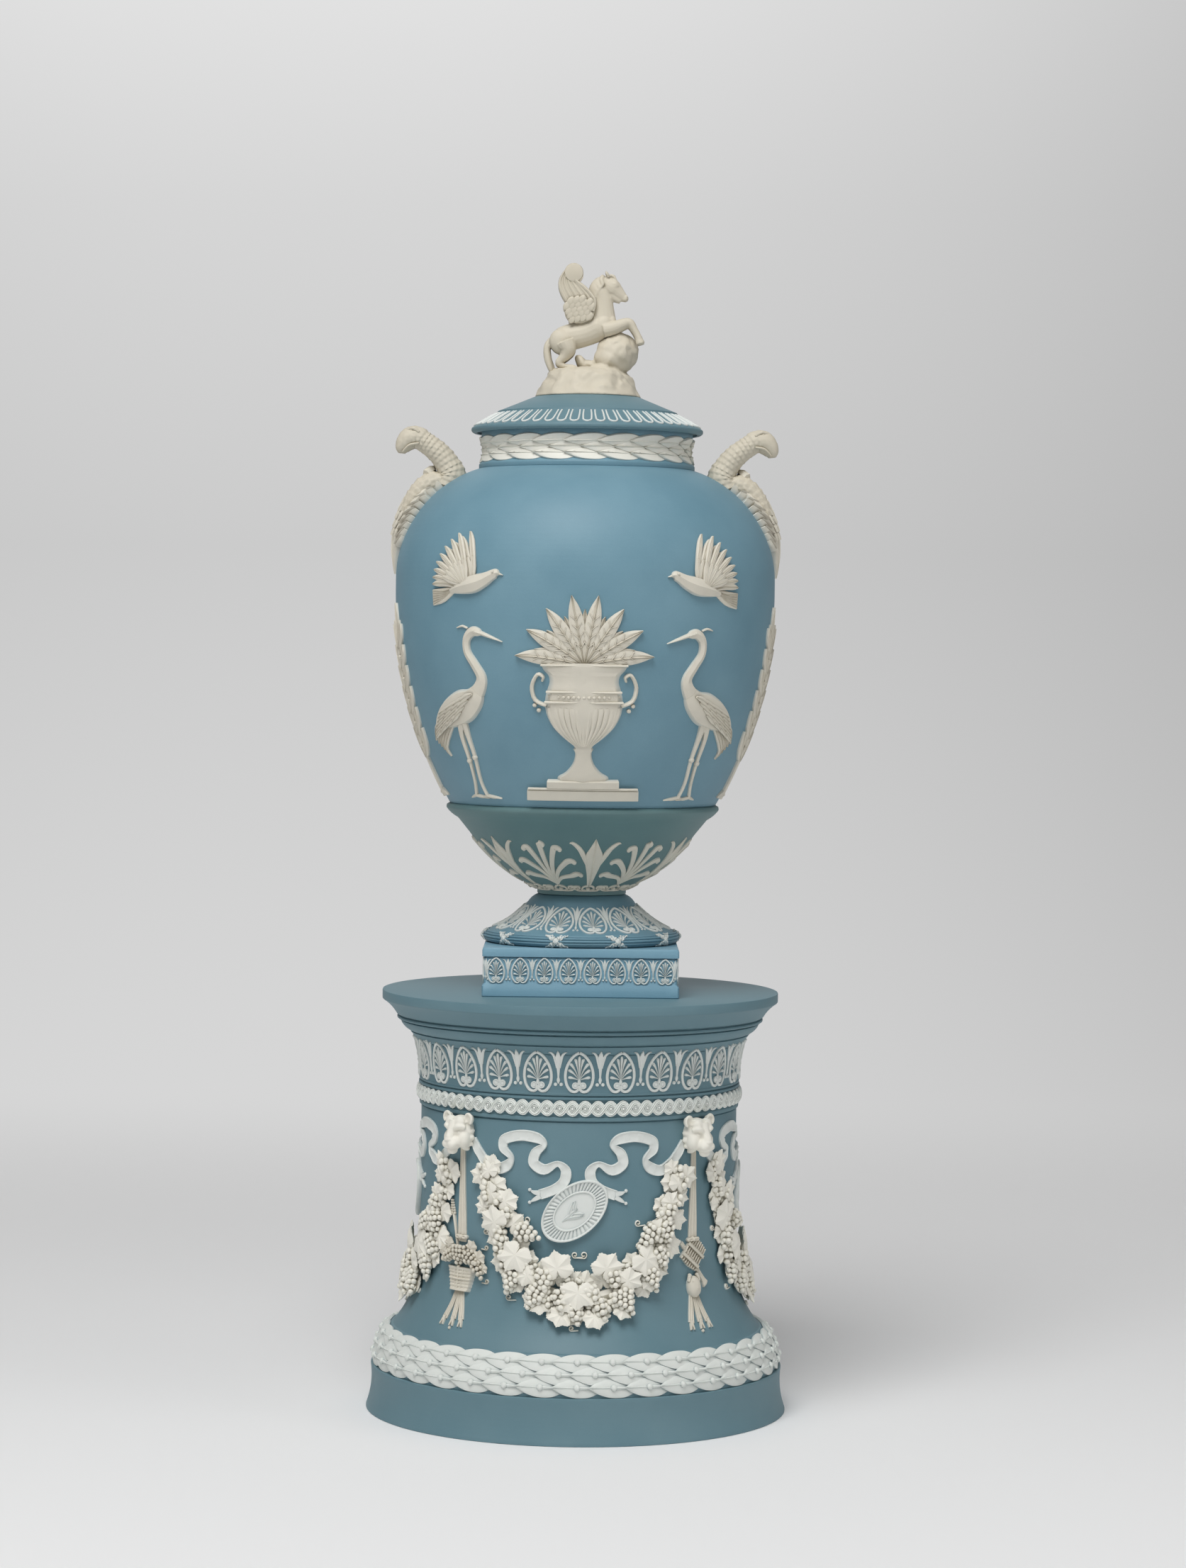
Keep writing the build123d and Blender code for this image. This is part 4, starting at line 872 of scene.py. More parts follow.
ring_piece("foot_ribbons", tie_clay, tie_count, cool_white, "vase", tie_turn)
print("foot with", foot_count, "palmettes and", tie_count, "ties")

# %% [markdown]
# The bowl has six lotus flowers and six palm leaves of seven fronds with rolled ends, over a row of
# twelve pairs of scrolls. The ornament is turned seven degrees from the front, as on the real one.

# %% Bowl reliefs
bowl_turn, bowl_count = 7, 6
bowl_wall = Wall(bowl_slope)
flower = Clay(bowl_wall)
flower.stroke([(0, 9, 1.2, 0.9), (0, 20, 2.6, 1.2), (0, 31, 4.6, 1.4), (0, 36, 4.8, 1.4), (0, 41, 2.8, 1.2),
               (0, 47.5, 0.15, 0.8)], VEINED)
for side in (-1, 1):
    flower.stroke([(3.0, 28, 0.9, 1.0), (5.4, 35, 1.5, 1.2), (8.4, 41, 1.3, 1.2), (12, 44.6, 0.9, 1.0),
                   (13.8, 44.6, 0.2, 0.7)], side=side)
ring_piece("bowl_lotuses", flower, bowl_count, warm_white, "vase", bowl_turn)

fan = Clay(bowl_wall)
for share, length in ((0, 34), (0.33, 33), (0.66, 28), (1, 21)):
    for side in ((-1, 1) if share else (1,)):
        lean = side * share * math.radians(62)
        tip_x, tip_y = length * math.sin(lean) * 0.75, 11 + length * math.cos(lean)
        fan.stroke([(0, 9, 0.6, 0.6), (tip_x * 0.3, 11 + (tip_y - 11) * 0.5, 1.3, 1.0),
                    (tip_x * 0.78, tip_y - 2.4, 1.7, 1.2), (tip_x, tip_y - 0.6, 1.9, 1.35),
                    (tip_x + side * 1.6, tip_y - 1.6, 1.7, 1.25),
                    (tip_x + side * 1.4, tip_y - 3.2, 0.9, 0.9)])
ring_piece("bowl_palmettes", fan, bowl_count, warm_white, "vase", bowl_turn + 180 / bowl_count)

scroll = Clay(bowl_wall)
for side in (-1, 1):
    curl = []
    for k in range(12):
        turn = math.radians(-60 + k * 45)
        reach = 3.0 - 0.2 * k
        curl.append((6.4 + reach * math.cos(turn), 4.6 + reach * math.sin(turn), 0.62, 0.95))
    scroll.stroke([(15.5, 1.6, 0.5, 0.8), (11.5, 1.2, 0.6, 0.9)] + curl, steps=3, side=side)
    scroll.stroke([(0, 7.8, 0.7, 0.9), (2.4, 6.4, 0.7, 0.9), (3.2, 3.2, 0.6, 0.9), (1.2, 1.6, 0.5, 0.8)],
                  side=side)
scroll.bead(0, 4.2, 1.2, 0.2)
ring_piece("bowl_scrolls", scroll, 2 * bowl_count, warm_white, "vase", bowl_turn)
print("bowl ornament", len(flower.faces), len(fan.faces), len(scroll.faces), "faces a motif")

# %% [markdown]
# Fifty-four tongues ring the lid. Each is a thin U with its round end outwards, on the slope of the rim.

# %% Lid tongues
tongue = Clay(Wall(lid_slope))
tongue_count, tongue_half = 54, 2.2
legs = [(1.9, 13.2, 0.42, 0.6), (tongue_half, 8.5, 0.48, 0.8)]
bend = []
for k in range(9):
    turn = math.pi * k / 8
    bend.append((tongue_half * math.cos(turn), 3.2 - 2.6 * math.sin(turn), 0.5, 0.85))
tongue.stroke(legs + bend + [(-x, y, w, h) for x, y, w, h in legs[::-1]], steps=2)
ring_piece("lid_tongues", tongue, tongue_count, cool_white, "lid")
print("tongues", tongue_count, "of", len(tongue.faces), "faces")

# %% [markdown]
# The drum has four bays, each with a vine garland, a medallion and a pair of ribbons, and a mask with a
# trophy between the bays. One of each is made at the front, flat and then bent to the drum, and turned
# copies stand for the others. Places are in millimetres from the middle of the bay, and heights are true.

# %% Drum wall and turned copies
drum_wall = Wall(flare + [(DRUM, z) for z in (100, 120, 140, 165)])


def up(z):
    """How far along the drum's wall a height lies."""
    return drum_wall.level(z)


def bent(x):
    """Across on the drum's wall, from across as it is seen from the front."""
    return DRUM * math.asin(x / DRUM)


def bays(name, mesh, material, start=0, count=4, body="pedestal"):
    """Copies of a piece evenly round the axis, one for each numbered node."""
    for k in range(count):
        piece(turned_copy(mesh, start + k * 360 / count), material, body, f"{name}_{k + 1}")


# %% [markdown]
# The medallion is an oval that leans to the right: a raised rim, a ring of flutes and a sunk field with a
# plain sprig. The height of every ring follows a list, and the fluted rings also swing with the angle.

# %% Medallions
medallion = Clay(drum_wall)
oval_middle, oval_long, oval_short, oval_lean = (-1.6, up(118.3)), 20.0, 12.9, math.radians(42)


def on_oval(share, turn, high):
    """A place on the leaning oval, at a share of its size."""
    a, b = oval_long * share * math.cos(turn), oval_short * share * math.sin(turn)
    x = oval_middle[0] + a * math.cos(oval_lean) - b * math.sin(oval_lean)
    y = oval_middle[1] + a * math.sin(oval_lean) + b * math.cos(oval_lean)
    return x, y, high


flutes, flute_steps = 44, 4
oval_rows = [(1, SUNK, 0), (1, 1.9, 0), (0.985, 2.5, 0), (0.955, 2.65, 0), (0.93, 2.3, 0),
             (0.915, 1.5, 0.6), (0.86, 1.2, 0.95), (0.7, 1.1, 0.9), (0.66, 1.2, 0.5), (0.645, 1.9, 0),
             (0.625, 2.1, 0), (0.6, 1.95, 0), (0.585, 1.3, 0), (0.4, 1.4, 0), (0.05, 1.45, 0)]
oval_rings = []
for share, high, swing in oval_rows:
    ring = []
    for k in range(flutes * flute_steps):
        dip = abs(math.sin(math.pi * k / flute_steps)) * swing
        ring.append(on_oval(share, math.tau * k / (flutes * flute_steps), high + dip))
    oval_rings.append(ring)
medallion.skin(oval_rings)
for k, lean in enumerate((90, 60, 120, 50, 130)):
    foot = on_oval(-0.42 + 0.1 * k, 0, 0)
    tip_turn = math.radians(lean - 90) + oval_lean
    long = 10.5 - 1.2 * k
    stations = [(foot[0], foot[1], 0.3, 0.5)]
    stations += blade(foot[0], foot[1], long, tip_turn, ((0.35, 0.9), (0.7, 1.0), (1, 0.15)), 1, 0.8)
    medallion.stroke(stations, VEINED, steps=3, lift=1.35)
bays("medallion", medallion.mesh("medallion"), cool_white)
print("medallion of", flutes, "flutes")

# %% [markdown]
# The ribbons run from the masks in loose waves and end in a fork with two small balls. A ribbon narrows
# where it turns its edge to the eye, so its half width changes along the line, with a raised hem.

# %% Ribbons
ribbon_places = [(-55, 153, 2.2), (-52.5, 148, 2.6), (-48.4, 142.2, 2.8), (-42.8, 138.7, 2.9),
                 (-37.1, 140.7, 2.9), (-34.8, 145.2, 1.5), (-38.8, 149.6, 2.5), (-38.2, 154.4, 2.8),
                 (-30, 157, 2.9), (-21.5, 156, 2.8), (-17.6, 152.8, 1.5), (-22, 148.4, 2.6),
                 (-23, 142.9, 2.8), (-17.5, 139.7, 2.8), (-10.6, 142.9, 1.5), (-6.4, 139.2, 2.7),
                 (-7.4, 133.4, 2.8), (-12.4, 129.3, 2.7), (-19.6, 126.4, 2.7)]
ribbons = Clay(drum_wall)
for side in (-1, 1):
    line = flow([(-side * bent(x), up(z), w, 1.3 + 0.55 * (w < 1.8)) for x, z, w in ribbon_places], 6)
    for i, station in enumerate(line):
        station[3] += 0.2 * math.sin(i * 1.25)
    ribbons.stroke(line, BANDED, steps=1)
    for rise in (-1, 1):
        ribbons.draw([(19.6, 126.4 + rise * 0.8, 1.5, 1.2), (22.6, 125.6 + rise * 1.8, 1.1, 1.2),
                      (24.6, 125.4 + rise * 2.8, 0.35, 1.0)], PLAIN, steps=3, side=side)
        ribbons.dot(side * 25.4, 125.4 + rise * 3.3, 0.95, 0.2)
bays("ribbon_pair", ribbons.mesh("ribbon pair"), cool_white)
print("ribbons", len(ribbons.faces), "faces a pair")

# %% [markdown]
# The garlands are the richest part: toothed vine leaves of five lobes, bunches of grapes and thin
# tendrils, built up in layers by hand. A leaf is one closed skin whose edge follows a table of radius by
# angle, with veins, a bend and a tilt in its heights. The grapes are many equal balls, so a node tree
# puts a ball of few faces on each point, sized by an attribute.

# %% Vine leaves and grapes
LOBES = [(0, 1.0), (9, 0.88), (24, 0.74), (38, 0.84), (50, 0.96), (62, 0.84), (78, 0.68), (92, 0.76),
         (106, 0.86), (124, 0.74), (150, 0.7), (168, 0.52), (180, 0.25)]
LOBE_TIPS, LOBE_GAPS = (-106, -50, 0, 50, 106), (-78, -24, 24, 78)


def from_tip(degrees):
    """An angle as the turn from a leaf's tip, between -180 and 180 degrees."""
    return (degrees + 180) % 360 - 180


def lobed(degrees):
    """The share of a vine leaf's radius at an angle from its tip, with small teeth."""
    angle = abs(from_tip(degrees))
    tooth = 0.17 * abs((angle / 11) % 1 - 0.5)
    return read_off(LOBES, angle) + tooth


def vine_leaf(clay, x, y, size, heading, lift, tilt=0.1, sides=72):
    """A toothed leaf of five lobes, veined, arched over what lies under it and tilted."""
    rings = []
    for share, top in ((0.1, -1.1), (0.97, -0.7), (1, -0.1), (0.8, 0), (0.5, 0), (0.2, 0), (0.03, 0)):
        ring = []
        for k in range(sides):
            degrees = 360 * k / sides
            turn = math.radians(degrees + heading)
            reach = size * share * lobed(degrees)
            vein = max(0, 1 - min(abs(from_tip(degrees) - m) for m in LOBE_TIPS) / 8)
            gap = min(abs(from_tip(degrees) - m) for m in LOBE_GAPS) / 26
            high = lift + top + size * 0.16 * (1 - share * share) + vein * 0.4 * share
            high += 0.05 * size * min(gap, 1) * share + tilt * reach * math.sin(turn + 0.8)
            ring.append((x + reach * math.cos(turn), y + reach * math.sin(turn), max(high, SUNK)))
        rings.append(ring)
    clay.skin(rings)


grape_tree, grape_in = new_tree("balls on points",
                                {"Points": "Geometry", "Sides": "Int", "Clay": "Material"})
grape_ball = add_node(grape_tree, "GeometryNodeMeshUVSphere", {"Rings": 6, "Radius": 1.0},
                      {"Segments": grape_in["Sides"]})
grape_size = add_node(grape_tree, "GeometryNodeInputNamedAttribute", {"Name": "size"}, data_type="FLOAT")
grape_copies = add_node(grape_tree, "GeometryNodeInstanceOnPoints",
                        links={"Points": grape_in["Points"], "Instance": grape_ball.outputs["Mesh"],
                               "Scale": grape_size.outputs["Attribute"]})
end_tree(grape_tree, grape_copies, grape_in["Clay"])


def balls(wall, places, material, sides=8):
    """A mesh of small balls at places of x, y, height and radius on a wall."""
    mesh = bpy.data.meshes.new("balls")
    mesh.from_pydata([[c * MM for c in wall.at(x, y, h)] for x, y, h, r in places], [], [])
    sizes = mesh.attributes.new("size", "FLOAT", "POINT").data
    sizes.foreach_set("value", [r * MM for x, y, h, r in places])
    return plain_mesh(mesh, grape_tree, {"Sides": sides, "Clay": material})


def joined(name, *meshes):
    """One mesh of several."""
    shape = bmesh.new()
    for mesh in meshes:
        shape.from_mesh(mesh)
    made = bpy.data.meshes.new(name)
    shape.to_mesh(made)
    shape.free()
    return made


def bunch(dice, x, y, size, heading, lift, grape=1.65):
    """Places of the grapes of one bunch that narrows towards its tip."""
    places = []
    rows = max(3, round(size * 2 / (grape * 1.5)))
    for row in range(rows):
        t = row / (rows - 1)
        wide = size * (0.75 if row == 0 else 0.95) * (1 - t ** 1.6 * 0.85)
        across = max(1, round(wide * 2 / (grape * 1.75)))
        for layer in (0, 1):
            for k in range(across - layer):
                s = (k - (across - layer - 1) / 2) * grape * 1.75 + dice.uniform(-0.25, 0.25)
                along = (t - 0.4) * size * 1.9 + dice.uniform(-0.25, 0.25)
                turn = math.radians(heading)
                px = x + along * math.cos(turn) - s * math.sin(turn)
                py = y + along * math.sin(turn) + s * math.cos(turn)
                places.append((px, py, lift + layer * grape * 1.15, grape * dice.uniform(0.86, 1.06)))
    return places


def tendril(clay, x, y, size, side, lift):
    """A thin stalk that ends in a curl."""
    line = [(x - side * size * 1.6, y - size * 0.5, 0.3, 0.8)]
    for k in range(11):
        turn = math.radians(-90 + k * 42)
        reach = size * (0.62 - 0.045 * k)
        line.append((x + side * reach * math.cos(turn), y + reach * math.sin(turn), 0.34, 0.8))
    clay.stroke(line, steps=3, lift=lift)


print("grape tree of", len(grape_tree.nodes), "nodes")

# %% [markdown]
# Each leaf and bunch of the garland has its own place, read off the object, with the way it points and
# how far it stands out, so that the swag is thin at its ends and heavy in the middle.

# %% Garlands
vine_leaves = [(-45, 137.5, 5.6, 110, 2.2), (-43.5, 126, 6.2, 200, 2.6), (-36.2, 122.4, 7.0, 20, 2.8),
               (-41, 111, 8.8, 150, 3.4), (-30, 95, 9.2, 240, 4.6), (-38, 99.5, 6.0, 170, 2.6),
               (-9.6, 89, 8.8, 100, 5.0), (0.6, 75.6, 9.8, 265, 7.0), (14.2, 89.2, 8.4, 60, 5.0),
               (33.4, 93.4, 9.0, -40, 4.6), (24.6, 82, 7.6, 30, 5.0), (-7.4, 63.4, 7.0, 250, 3.4),
               (9.0, 62.6, 7.2, 290, 3.4), (-18.4, 68.6, 5.8, 220, 3.0), (23.2, 66.4, 6.0, 310, 3.0),
               (40.4, 108, 6.6, 20, 3.0), (46.6, 121.6, 6.2, 60, 2.8), (50.2, 131.6, 6.2, 80, 2.6),
               (44.4, 116, 5.4, 190, 3.0), (-24.4, 84.4, 6.4, 200, 4.2), (-47.6, 118, 4.8, 170, 2.0),
               (36.6, 80.6, 5.6, -30, 3.0), (47.6, 139.5, 4.8, 100, 2.0), (-3.6, 69.4, 6.0, 230, 6.0),
               (-33.4, 84.6, 5.2, 220, 2.8)]
vine_bunches = [(-25.6, 106.4, 5.6, -20, 2.6), (-46.4, 125.6, 4.2, -80, 2.2), (-33, 80.6, 5.6, -110, 3.0),
                (-20.2, 73.4, 6.6, -120, 3.8), (-15.8, 82.4, 6.0, -90, 4.4), (-7.4, 71.2, 6.0, -90, 4.6),
                (23.6, 71.2, 7.0, -60, 4.2), (18.4, 82.4, 5.0, -80, 4.4), (37.6, 82.4, 6.0, -70, 3.2),
                (35.8, 104.8, 6.0, -130, 3.0), (45, 106.4, 5.8, -80, 2.6), (46, 116, 4.8, -100, 2.4),
                (-0.6, 65, 5.4, -80, 4.0), (11.6, 67, 5.0, -70, 4.2), (-39.2, 99.6, 4.8, -110, 2.8),
                (51.2, 136.6, 3.6, -80, 2.0), (-36.6, 91.6, 5.0, -100, 2.8), (41.6, 93.6, 5.4, -60, 2.8),
                (7.6, 74.6, 4.6, -60, 5.6)]
vine_curls = [(-26.2, 113, 2.6, 1), (3.4, 95.4, 3.0, 1), (-1.2, 95.4, 2.6, -1), (-35.2, 71.8, 2.6, -1),
              (31.4, 111.6, 2.6, -1), (49, 94.2, 2.4, 1), (-2.4, 57.6, 2.2, -1), (27, 66.6, 2.4, 1),
              (-47.6, 105, 2.2, -1)]
swag = [(-47.4, 139.7, 5), (-43.3, 123.4, 6), (-37, 109, 8.5), (-33, 92.8, 10.5), (-22.7, 80.6, 12),
        (-8.2, 74.4, 14), (4, 72.4, 15), (20.6, 76.5, 13.5), (33, 86.7, 11.5), (43.3, 101, 9),
        (47.4, 119.3, 6.5), (52.5, 135.6, 5)]
dice = random.Random(11)
garland = Clay(drum_wall)
grapes = []
swag_line = flow(swag, 6)
for k, (x, z, half) in enumerate(swag_line):
    dx, dz = way_at(swag_line, k)
    side = 1 if k % 4 < 2 else -1
    out = math.atan2(dz, dx) + side * math.pi / 2
    if k % 2 == 0:
        px, pz = x + half * 0.55 * math.cos(out), z + half * 0.55 * math.sin(out)
        vine_leaf(garland, bent(px), up(pz), dice.uniform(6.0, 7.4),
                  math.degrees(out) + dice.uniform(-35, 35), 1.9, dice.uniform(-0.14, 0.14))
    if k % 3 == 1:
        px, pz = x - half * 0.4 * math.cos(out), z - half * 0.4 * math.sin(out)
        grapes += bunch(dice, bent(px), up(pz), min(4.6, half * 0.6), dice.uniform(-130, -50), 2.6)
for x, z, size, heading, lift in vine_leaves:
    vine_leaf(garland, bent(x), up(z), size * 1.05, heading, lift + 0.8, dice.uniform(-0.16, 0.16))
for x, z, size, side in vine_curls:
    tendril(garland, bent(x), up(z), size, side, 0.4)
stalk = [(-47, 140, 1.2), (-45, 120, 1.8), (-38, 100, 2.4), (-25, 82, 3), (0, 72, 3.4), (25, 79, 3),
         (40, 96, 2.4), (48, 118, 1.8), (50, 138, 1.2)]
garland.stroke([(bent(x), up(z), w, 3.0) for x, z, w in stalk], steps=5)
for x, z, size, heading, lift in vine_bunches:
    grapes += bunch(dice, bent(x), up(z), size * 1.05, heading, lift + 0.8)
garland_mesh = joined("garland", garland.mesh("garland leaves"), balls(drum_wall, grapes, lit_white))
bays("garland", garland_mesh, lit_white)
print("garland", len(vine_leaves), "leaves", len(grapes), "grapes", len(garland_mesh.polygons), "faces")

# %% [markdown]
# The masks are lionesses, modelled in the round. Lumps and tapered ropes of clay are pushed together and
# a voxel remesh makes one skin of them, which a smoothing pass then softens, much as a wet finger would.

# %% Modelling clay


def lump(shape, place, radii, turn=(0, 0, 0)):
    """An egg of clay at a place, in millimetres."""
    spin = Matrix.Rotation(math.radians(turn[2]), 4, "Z") @ Matrix.Rotation(math.radians(turn[1]), 4, "Y")
    spin = spin @ Matrix.Rotation(math.radians(turn[0]), 4, "X")
    size = Matrix.Diagonal((*[r * MM for r in radii], 1))
    matrix = Matrix.Translation(Vector(place) * MM) @ spin @ size
    bmesh.ops.create_icosphere(shape, subdivisions=3, radius=1, matrix=matrix)


def close_rows(shape, rows):
    """Joins rows of points into a closed skin."""
    count = len(rows[0])
    for low, high in zip(rows, rows[1:]):
        for k in range(count):
            n = (k + 1) % count
            shape.faces.new((low[k], low[n], high[n], high[k]))
    shape.faces.new(rows[0][::-1])
    shape.faces.new(rows[-1])


def rope(shape, stations, steps=5, sides=14, slim=1.0):
    """A rope of clay along stations of x, y, z and radius, closed at its ends and slimmer across."""
    line = flow(stations, steps)
    rows = []
    side = Vector((0, 1, 0.01))
    for i, (x, y, z, r) in enumerate(line):
        ahead = Vector(line[min(i + 1, len(line) - 1)][:3]) - Vector(line[max(i - 1, 0)][:3])
        ahead.normalize()
        side = (side - ahead * side.dot(ahead)).normalized()
        other = ahead.cross(side)
        row = []
        for k in range(sides):
            turn = math.tau * k / sides
            spot = Vector((x, y, z)) + (side * math.cos(turn) * slim + other * math.sin(turn)) * r
            row.append(shape.verts.new(spot * MM))
        rows.append(row)
    close_rows(shape, rows)


def modelled(name, shape, voxel, softness=4):
    """One skin of all the lumps and ropes, remeshed at a voxel size in millimetres and softened."""
    bmesh.ops.recalc_face_normals(shape, faces=shape.faces)
    rough = bpy.data.meshes.new(name)
    shape.to_mesh(rough)
    shape.free()
    carrier = bpy.data.objects.new(name, rough)
    bpy.context.scene.collection.objects.link(carrier)
    remesh = carrier.modifiers.new("remesh", "REMESH")
    remesh.mode = "VOXEL"
    remesh.voxel_size = voxel * MM
    soft = carrier.modifiers.new("soften", "SMOOTH")
    soft.factor = 0.5
    soft.iterations = softness
    made = bpy.data.meshes.new_from_object(carrier.evaluated_get(bpy.context.evaluated_depsgraph_get()))
    made.name = name
    bpy.data.objects.remove(carrier)
    return made


# %% [markdown]
# The mask's lumps are the skull, cheeks, muzzle, lips, chin, nose, brows, eyes and round ears, with
# locks of fur about the edge. Half of it is listed and mirrored.

# %% Lioness masks
mask = bmesh.new()
mask_y, mask_z = -DRUM, 155.7


def at_mask(x, out, up_by):
    """A place across, out and up from the middle of the mask, on the drum's wall."""
    return x, mask_y - out, mask_z + up_by


def mask_rope(stations, **more):
    """A rope of the mask, along stations of across, out, up and radius."""
    rope(mask, [(*at_mask(x, out, up_by), r) for x, out, up_by, r in stations], **more)


lump(mask, at_mask(0, 2.2, 0.8), (8.2, 6.8, 8.8))
lump(mask, at_mask(0, 7.8, -4.4), (5.2, 4.8, 4.2))
lump(mask, at_mask(0, 8.4, -8.6), (3.2, 2.6, 2.2))
mask_rope([(0, 6.8, 6.6, 3.0), (0, 8.6, 2.2, 2.5), (0, 10.8, -2.2, 2.3)])
lump(mask, at_mask(0, 12, -2.8), (2.4, 1.2, 1.3))
for side in (-1, 1):
    lump(mask, at_mask(side * 4.9, 4.8, -2.6), (3.8, 3.8, 4.8))
    lump(mask, at_mask(side * 2.1, 10.4, -5.2), (2.7, 2.5, 2.4))
    lump(mask, at_mask(side * 3.2, 6.2, 6.2), (3.4, 2.8, 3.4))
    mask_rope([(side * 1.8, 9.2, 2.6, 1.1), (side * 4.4, 8.6, 4.2, 1.4), (side * 7.0, 5.8, 3.6, 1.1)])
    lump(mask, at_mask(side * 3.9, 7.2, 1.2), (1.4, 1.2, 1.0))
    ear = []
    for k in range(9):
        turn = math.radians(-60 + k * 37)
        ear.append((side * (8.0 + 2.4 * math.cos(turn)), 4.6, 8.0 + 2.7 * math.sin(turn), 0.8))
    mask_rope(ear)
    lump(mask, at_mask(side * 7.8, 3.0, 7.8), (2.4, 1.5, 2.7))
    for lean, long in ((12, 8.6), (-14, 8.8), (-38, 9.2), (-62, 9.6)):
        turn = math.radians(lean)
        mask_rope([(side * 6.0 * math.cos(turn), 3.4, 7.0 * math.sin(turn), 2.0),
                   (side * long * 0.9 * math.cos(turn), 1.8, long * 0.9 * math.sin(turn), 1.7),
                   (side * long * math.cos(turn + 0.1), 0.8, long * math.sin(turn + 0.1), 1.0)], steps=4,
                  sides=10)
mask_mesh = modelled("lioness mask", mask, 0.42, 3)
bays("lion_mask", mask_mesh, lit_white, -45)
print("mask", len(mask_mesh.polygons), "faces")

# %% [markdown]
# A trophy hangs by a pleated strap under each mask. Two hold a basket of grapes with a cone-tipped
# staff, and two hold pan pipes, a flute and a small plain face. All of them end in three loose ribbon
# tails.

# %% Trophies


def strap_and_tails(clay):
    """The pleated strap above a trophy and the three tails below it."""
    clay.draw([(0, 148.5, 1.7, 1.3), (0, 128, 2.2, 1.4), (0, 110, 3.0, 1.3), (0, 98, 3.2, 1.0)], REEDED)
    for foot, lean in ((-6.2, -1), (0.4, 0), (6.0, 1)):
        clay.draw([(foot * 0.2, 76, 1.0, 1.4), (foot * 0.55, 66, 1.6, 1.3), (foot, 57.5, 1.9, 1.2)], REEDED)
        for fork in (-1, 1):
            clay.draw([(foot, 58.4, 1.0, 1.2), (foot + lean * 0.8 + fork * 1.2, 54.0, 0.4, 1.0)], PLAIN,
                      steps=3)
    clay.dot(0, 53.0, 0.9, 0.2)
    for side in (-1, 1):
        clay.boss(side * 2.4, up(100.6), [(2.3, SUNK), (2.2, 1.4), (1.3, 2.1), (0.4, 1.7)], 12,
                  lambda t: 0.75 + 0.25 * math.cos(2 * t))
    clay.dot(0, 100.6, 1.3, 1.2)


basket = Clay(drum_wall)
strap_and_tails(basket)
weave = []
for k in range(15):
    t = k / 14
    weave.append((0, 71.8 + 12.8 * t, 7.2 + 3.4 * t + 0.25 * (k % 2),
                  3.0 + 0.5 * (k % 2) + 0.6 * (k in (0, 7, 14))))
basket.draw(weave, steps=2)
for k in range(-3, 4):
    basket.draw([(k * 2.0, 72.4, 0.4, 0.8), (k * 2.8, 84, 0.45, 0.8)], steps=3, lift=2.8 - abs(k) * 0.55)
for x, z, size, heading in ((-13.4, 92, 4.6, 150), (12.8, 90.6, 4.8, 20), (-8, 96, 4.4, 120),
                            (8, 95.6, 4.4, 60), (15.6, 85.4, 3.4, -40)):
    vine_leaf(basket, x, up(z), size, heading, 2.2)
for x, z, side in ((-17.4, 92.4, -1), (17.6, 78.6, 1), (16.8, 96.4, 1)):
    tendril(basket, x, up(z), 1.9, side, 0.3)
basket.draw([(-1.6, 86, 0.9, 1.6), (-4.6, 103, 0.9, 1.6), (-6.6, 112, 1.0, 1.6)])
for row in range(6):
    for k in (-1, 0, 1):
        basket.dot(-7.2 + k * (1.3 - 0.16 * row) - 0.16 * row, 112.4 + row * 1.35, 0.85 - 0.05 * row,
                   0.9 - 0.4 * abs(k))
basket_grapes = []
for x, z, size, heading in ((-8, 90, 4.6, -150), (0, 91.4, 5.4, -90), (8.4, 90, 4.8, -30),
                            (13, 84.4, 4.2, -60)):
    basket_grapes += bunch(dice, x, up(z), size, heading, 2.8, 1.3)
basket_mesh = joined("basket trophy", basket.mesh("basket"), balls(drum_wall, basket_grapes, warm_white))
bays("basket_trophy", basket_mesh, warm_white, -45, 2)

pipes = Clay(drum_wall)
pipes_middle, pipes_lean = up(92.4), math.radians(52)
strap_and_tails(pipes)
for k in range(8):
    reach = 8.6 - abs(k - 3.5) * 0.35
    off = (k - 3.5) * 1.75
    mid_x, mid_y = -off * math.sin(pipes_lean), pipes_middle + off * math.cos(pipes_lean)
    dx, dy = reach * math.cos(pipes_lean), reach * math.sin(pipes_lean)
    pipes.stroke([(mid_x - dx * 0.8, mid_y - dy * 0.8, 0.85, 2.0), (mid_x + dx, mid_y + dy, 0.85, 2.0)],
                 steps=6)
for shift in (-3.4, 2.8):
    lean = pipes_lean + math.pi / 2
    mid_x, mid_y = shift * math.cos(pipes_lean), pipes_middle + shift * math.sin(pipes_lean)
    pipes.stroke([(mid_x - 7 * math.cos(lean), mid_y - 7 * math.sin(lean), 0.9, 0.8),
                  (mid_x + 7 * math.cos(lean), mid_y + 7 * math.sin(lean), 0.9, 0.8)], BANDED, steps=6,
                 lift=1.7)
pipes.draw([(-8.4, 99.6, 1.3, 1.7), (0, 89, 1.2, 1.7), (7.6, 79.4, 1.5, 1.8), (9.6, 76.6, 2.4, 1.9),
            (10.4, 75.6, 2.6, 1.4)])
for k in range(5):
    pipes.dot(-6.6 + 2.6 * k, 97.4 - 3.2 * k, 0.5, 1.6)
pipes.boss(0, up(75.4), [(4.5, SUNK), (4.4, 1.6), (3.7, 3.0), (2.3, 3.9), (0.5, 4.2)], 18,
           lambda t: 1 + 0.34 * abs(math.sin(t)) ** 2)
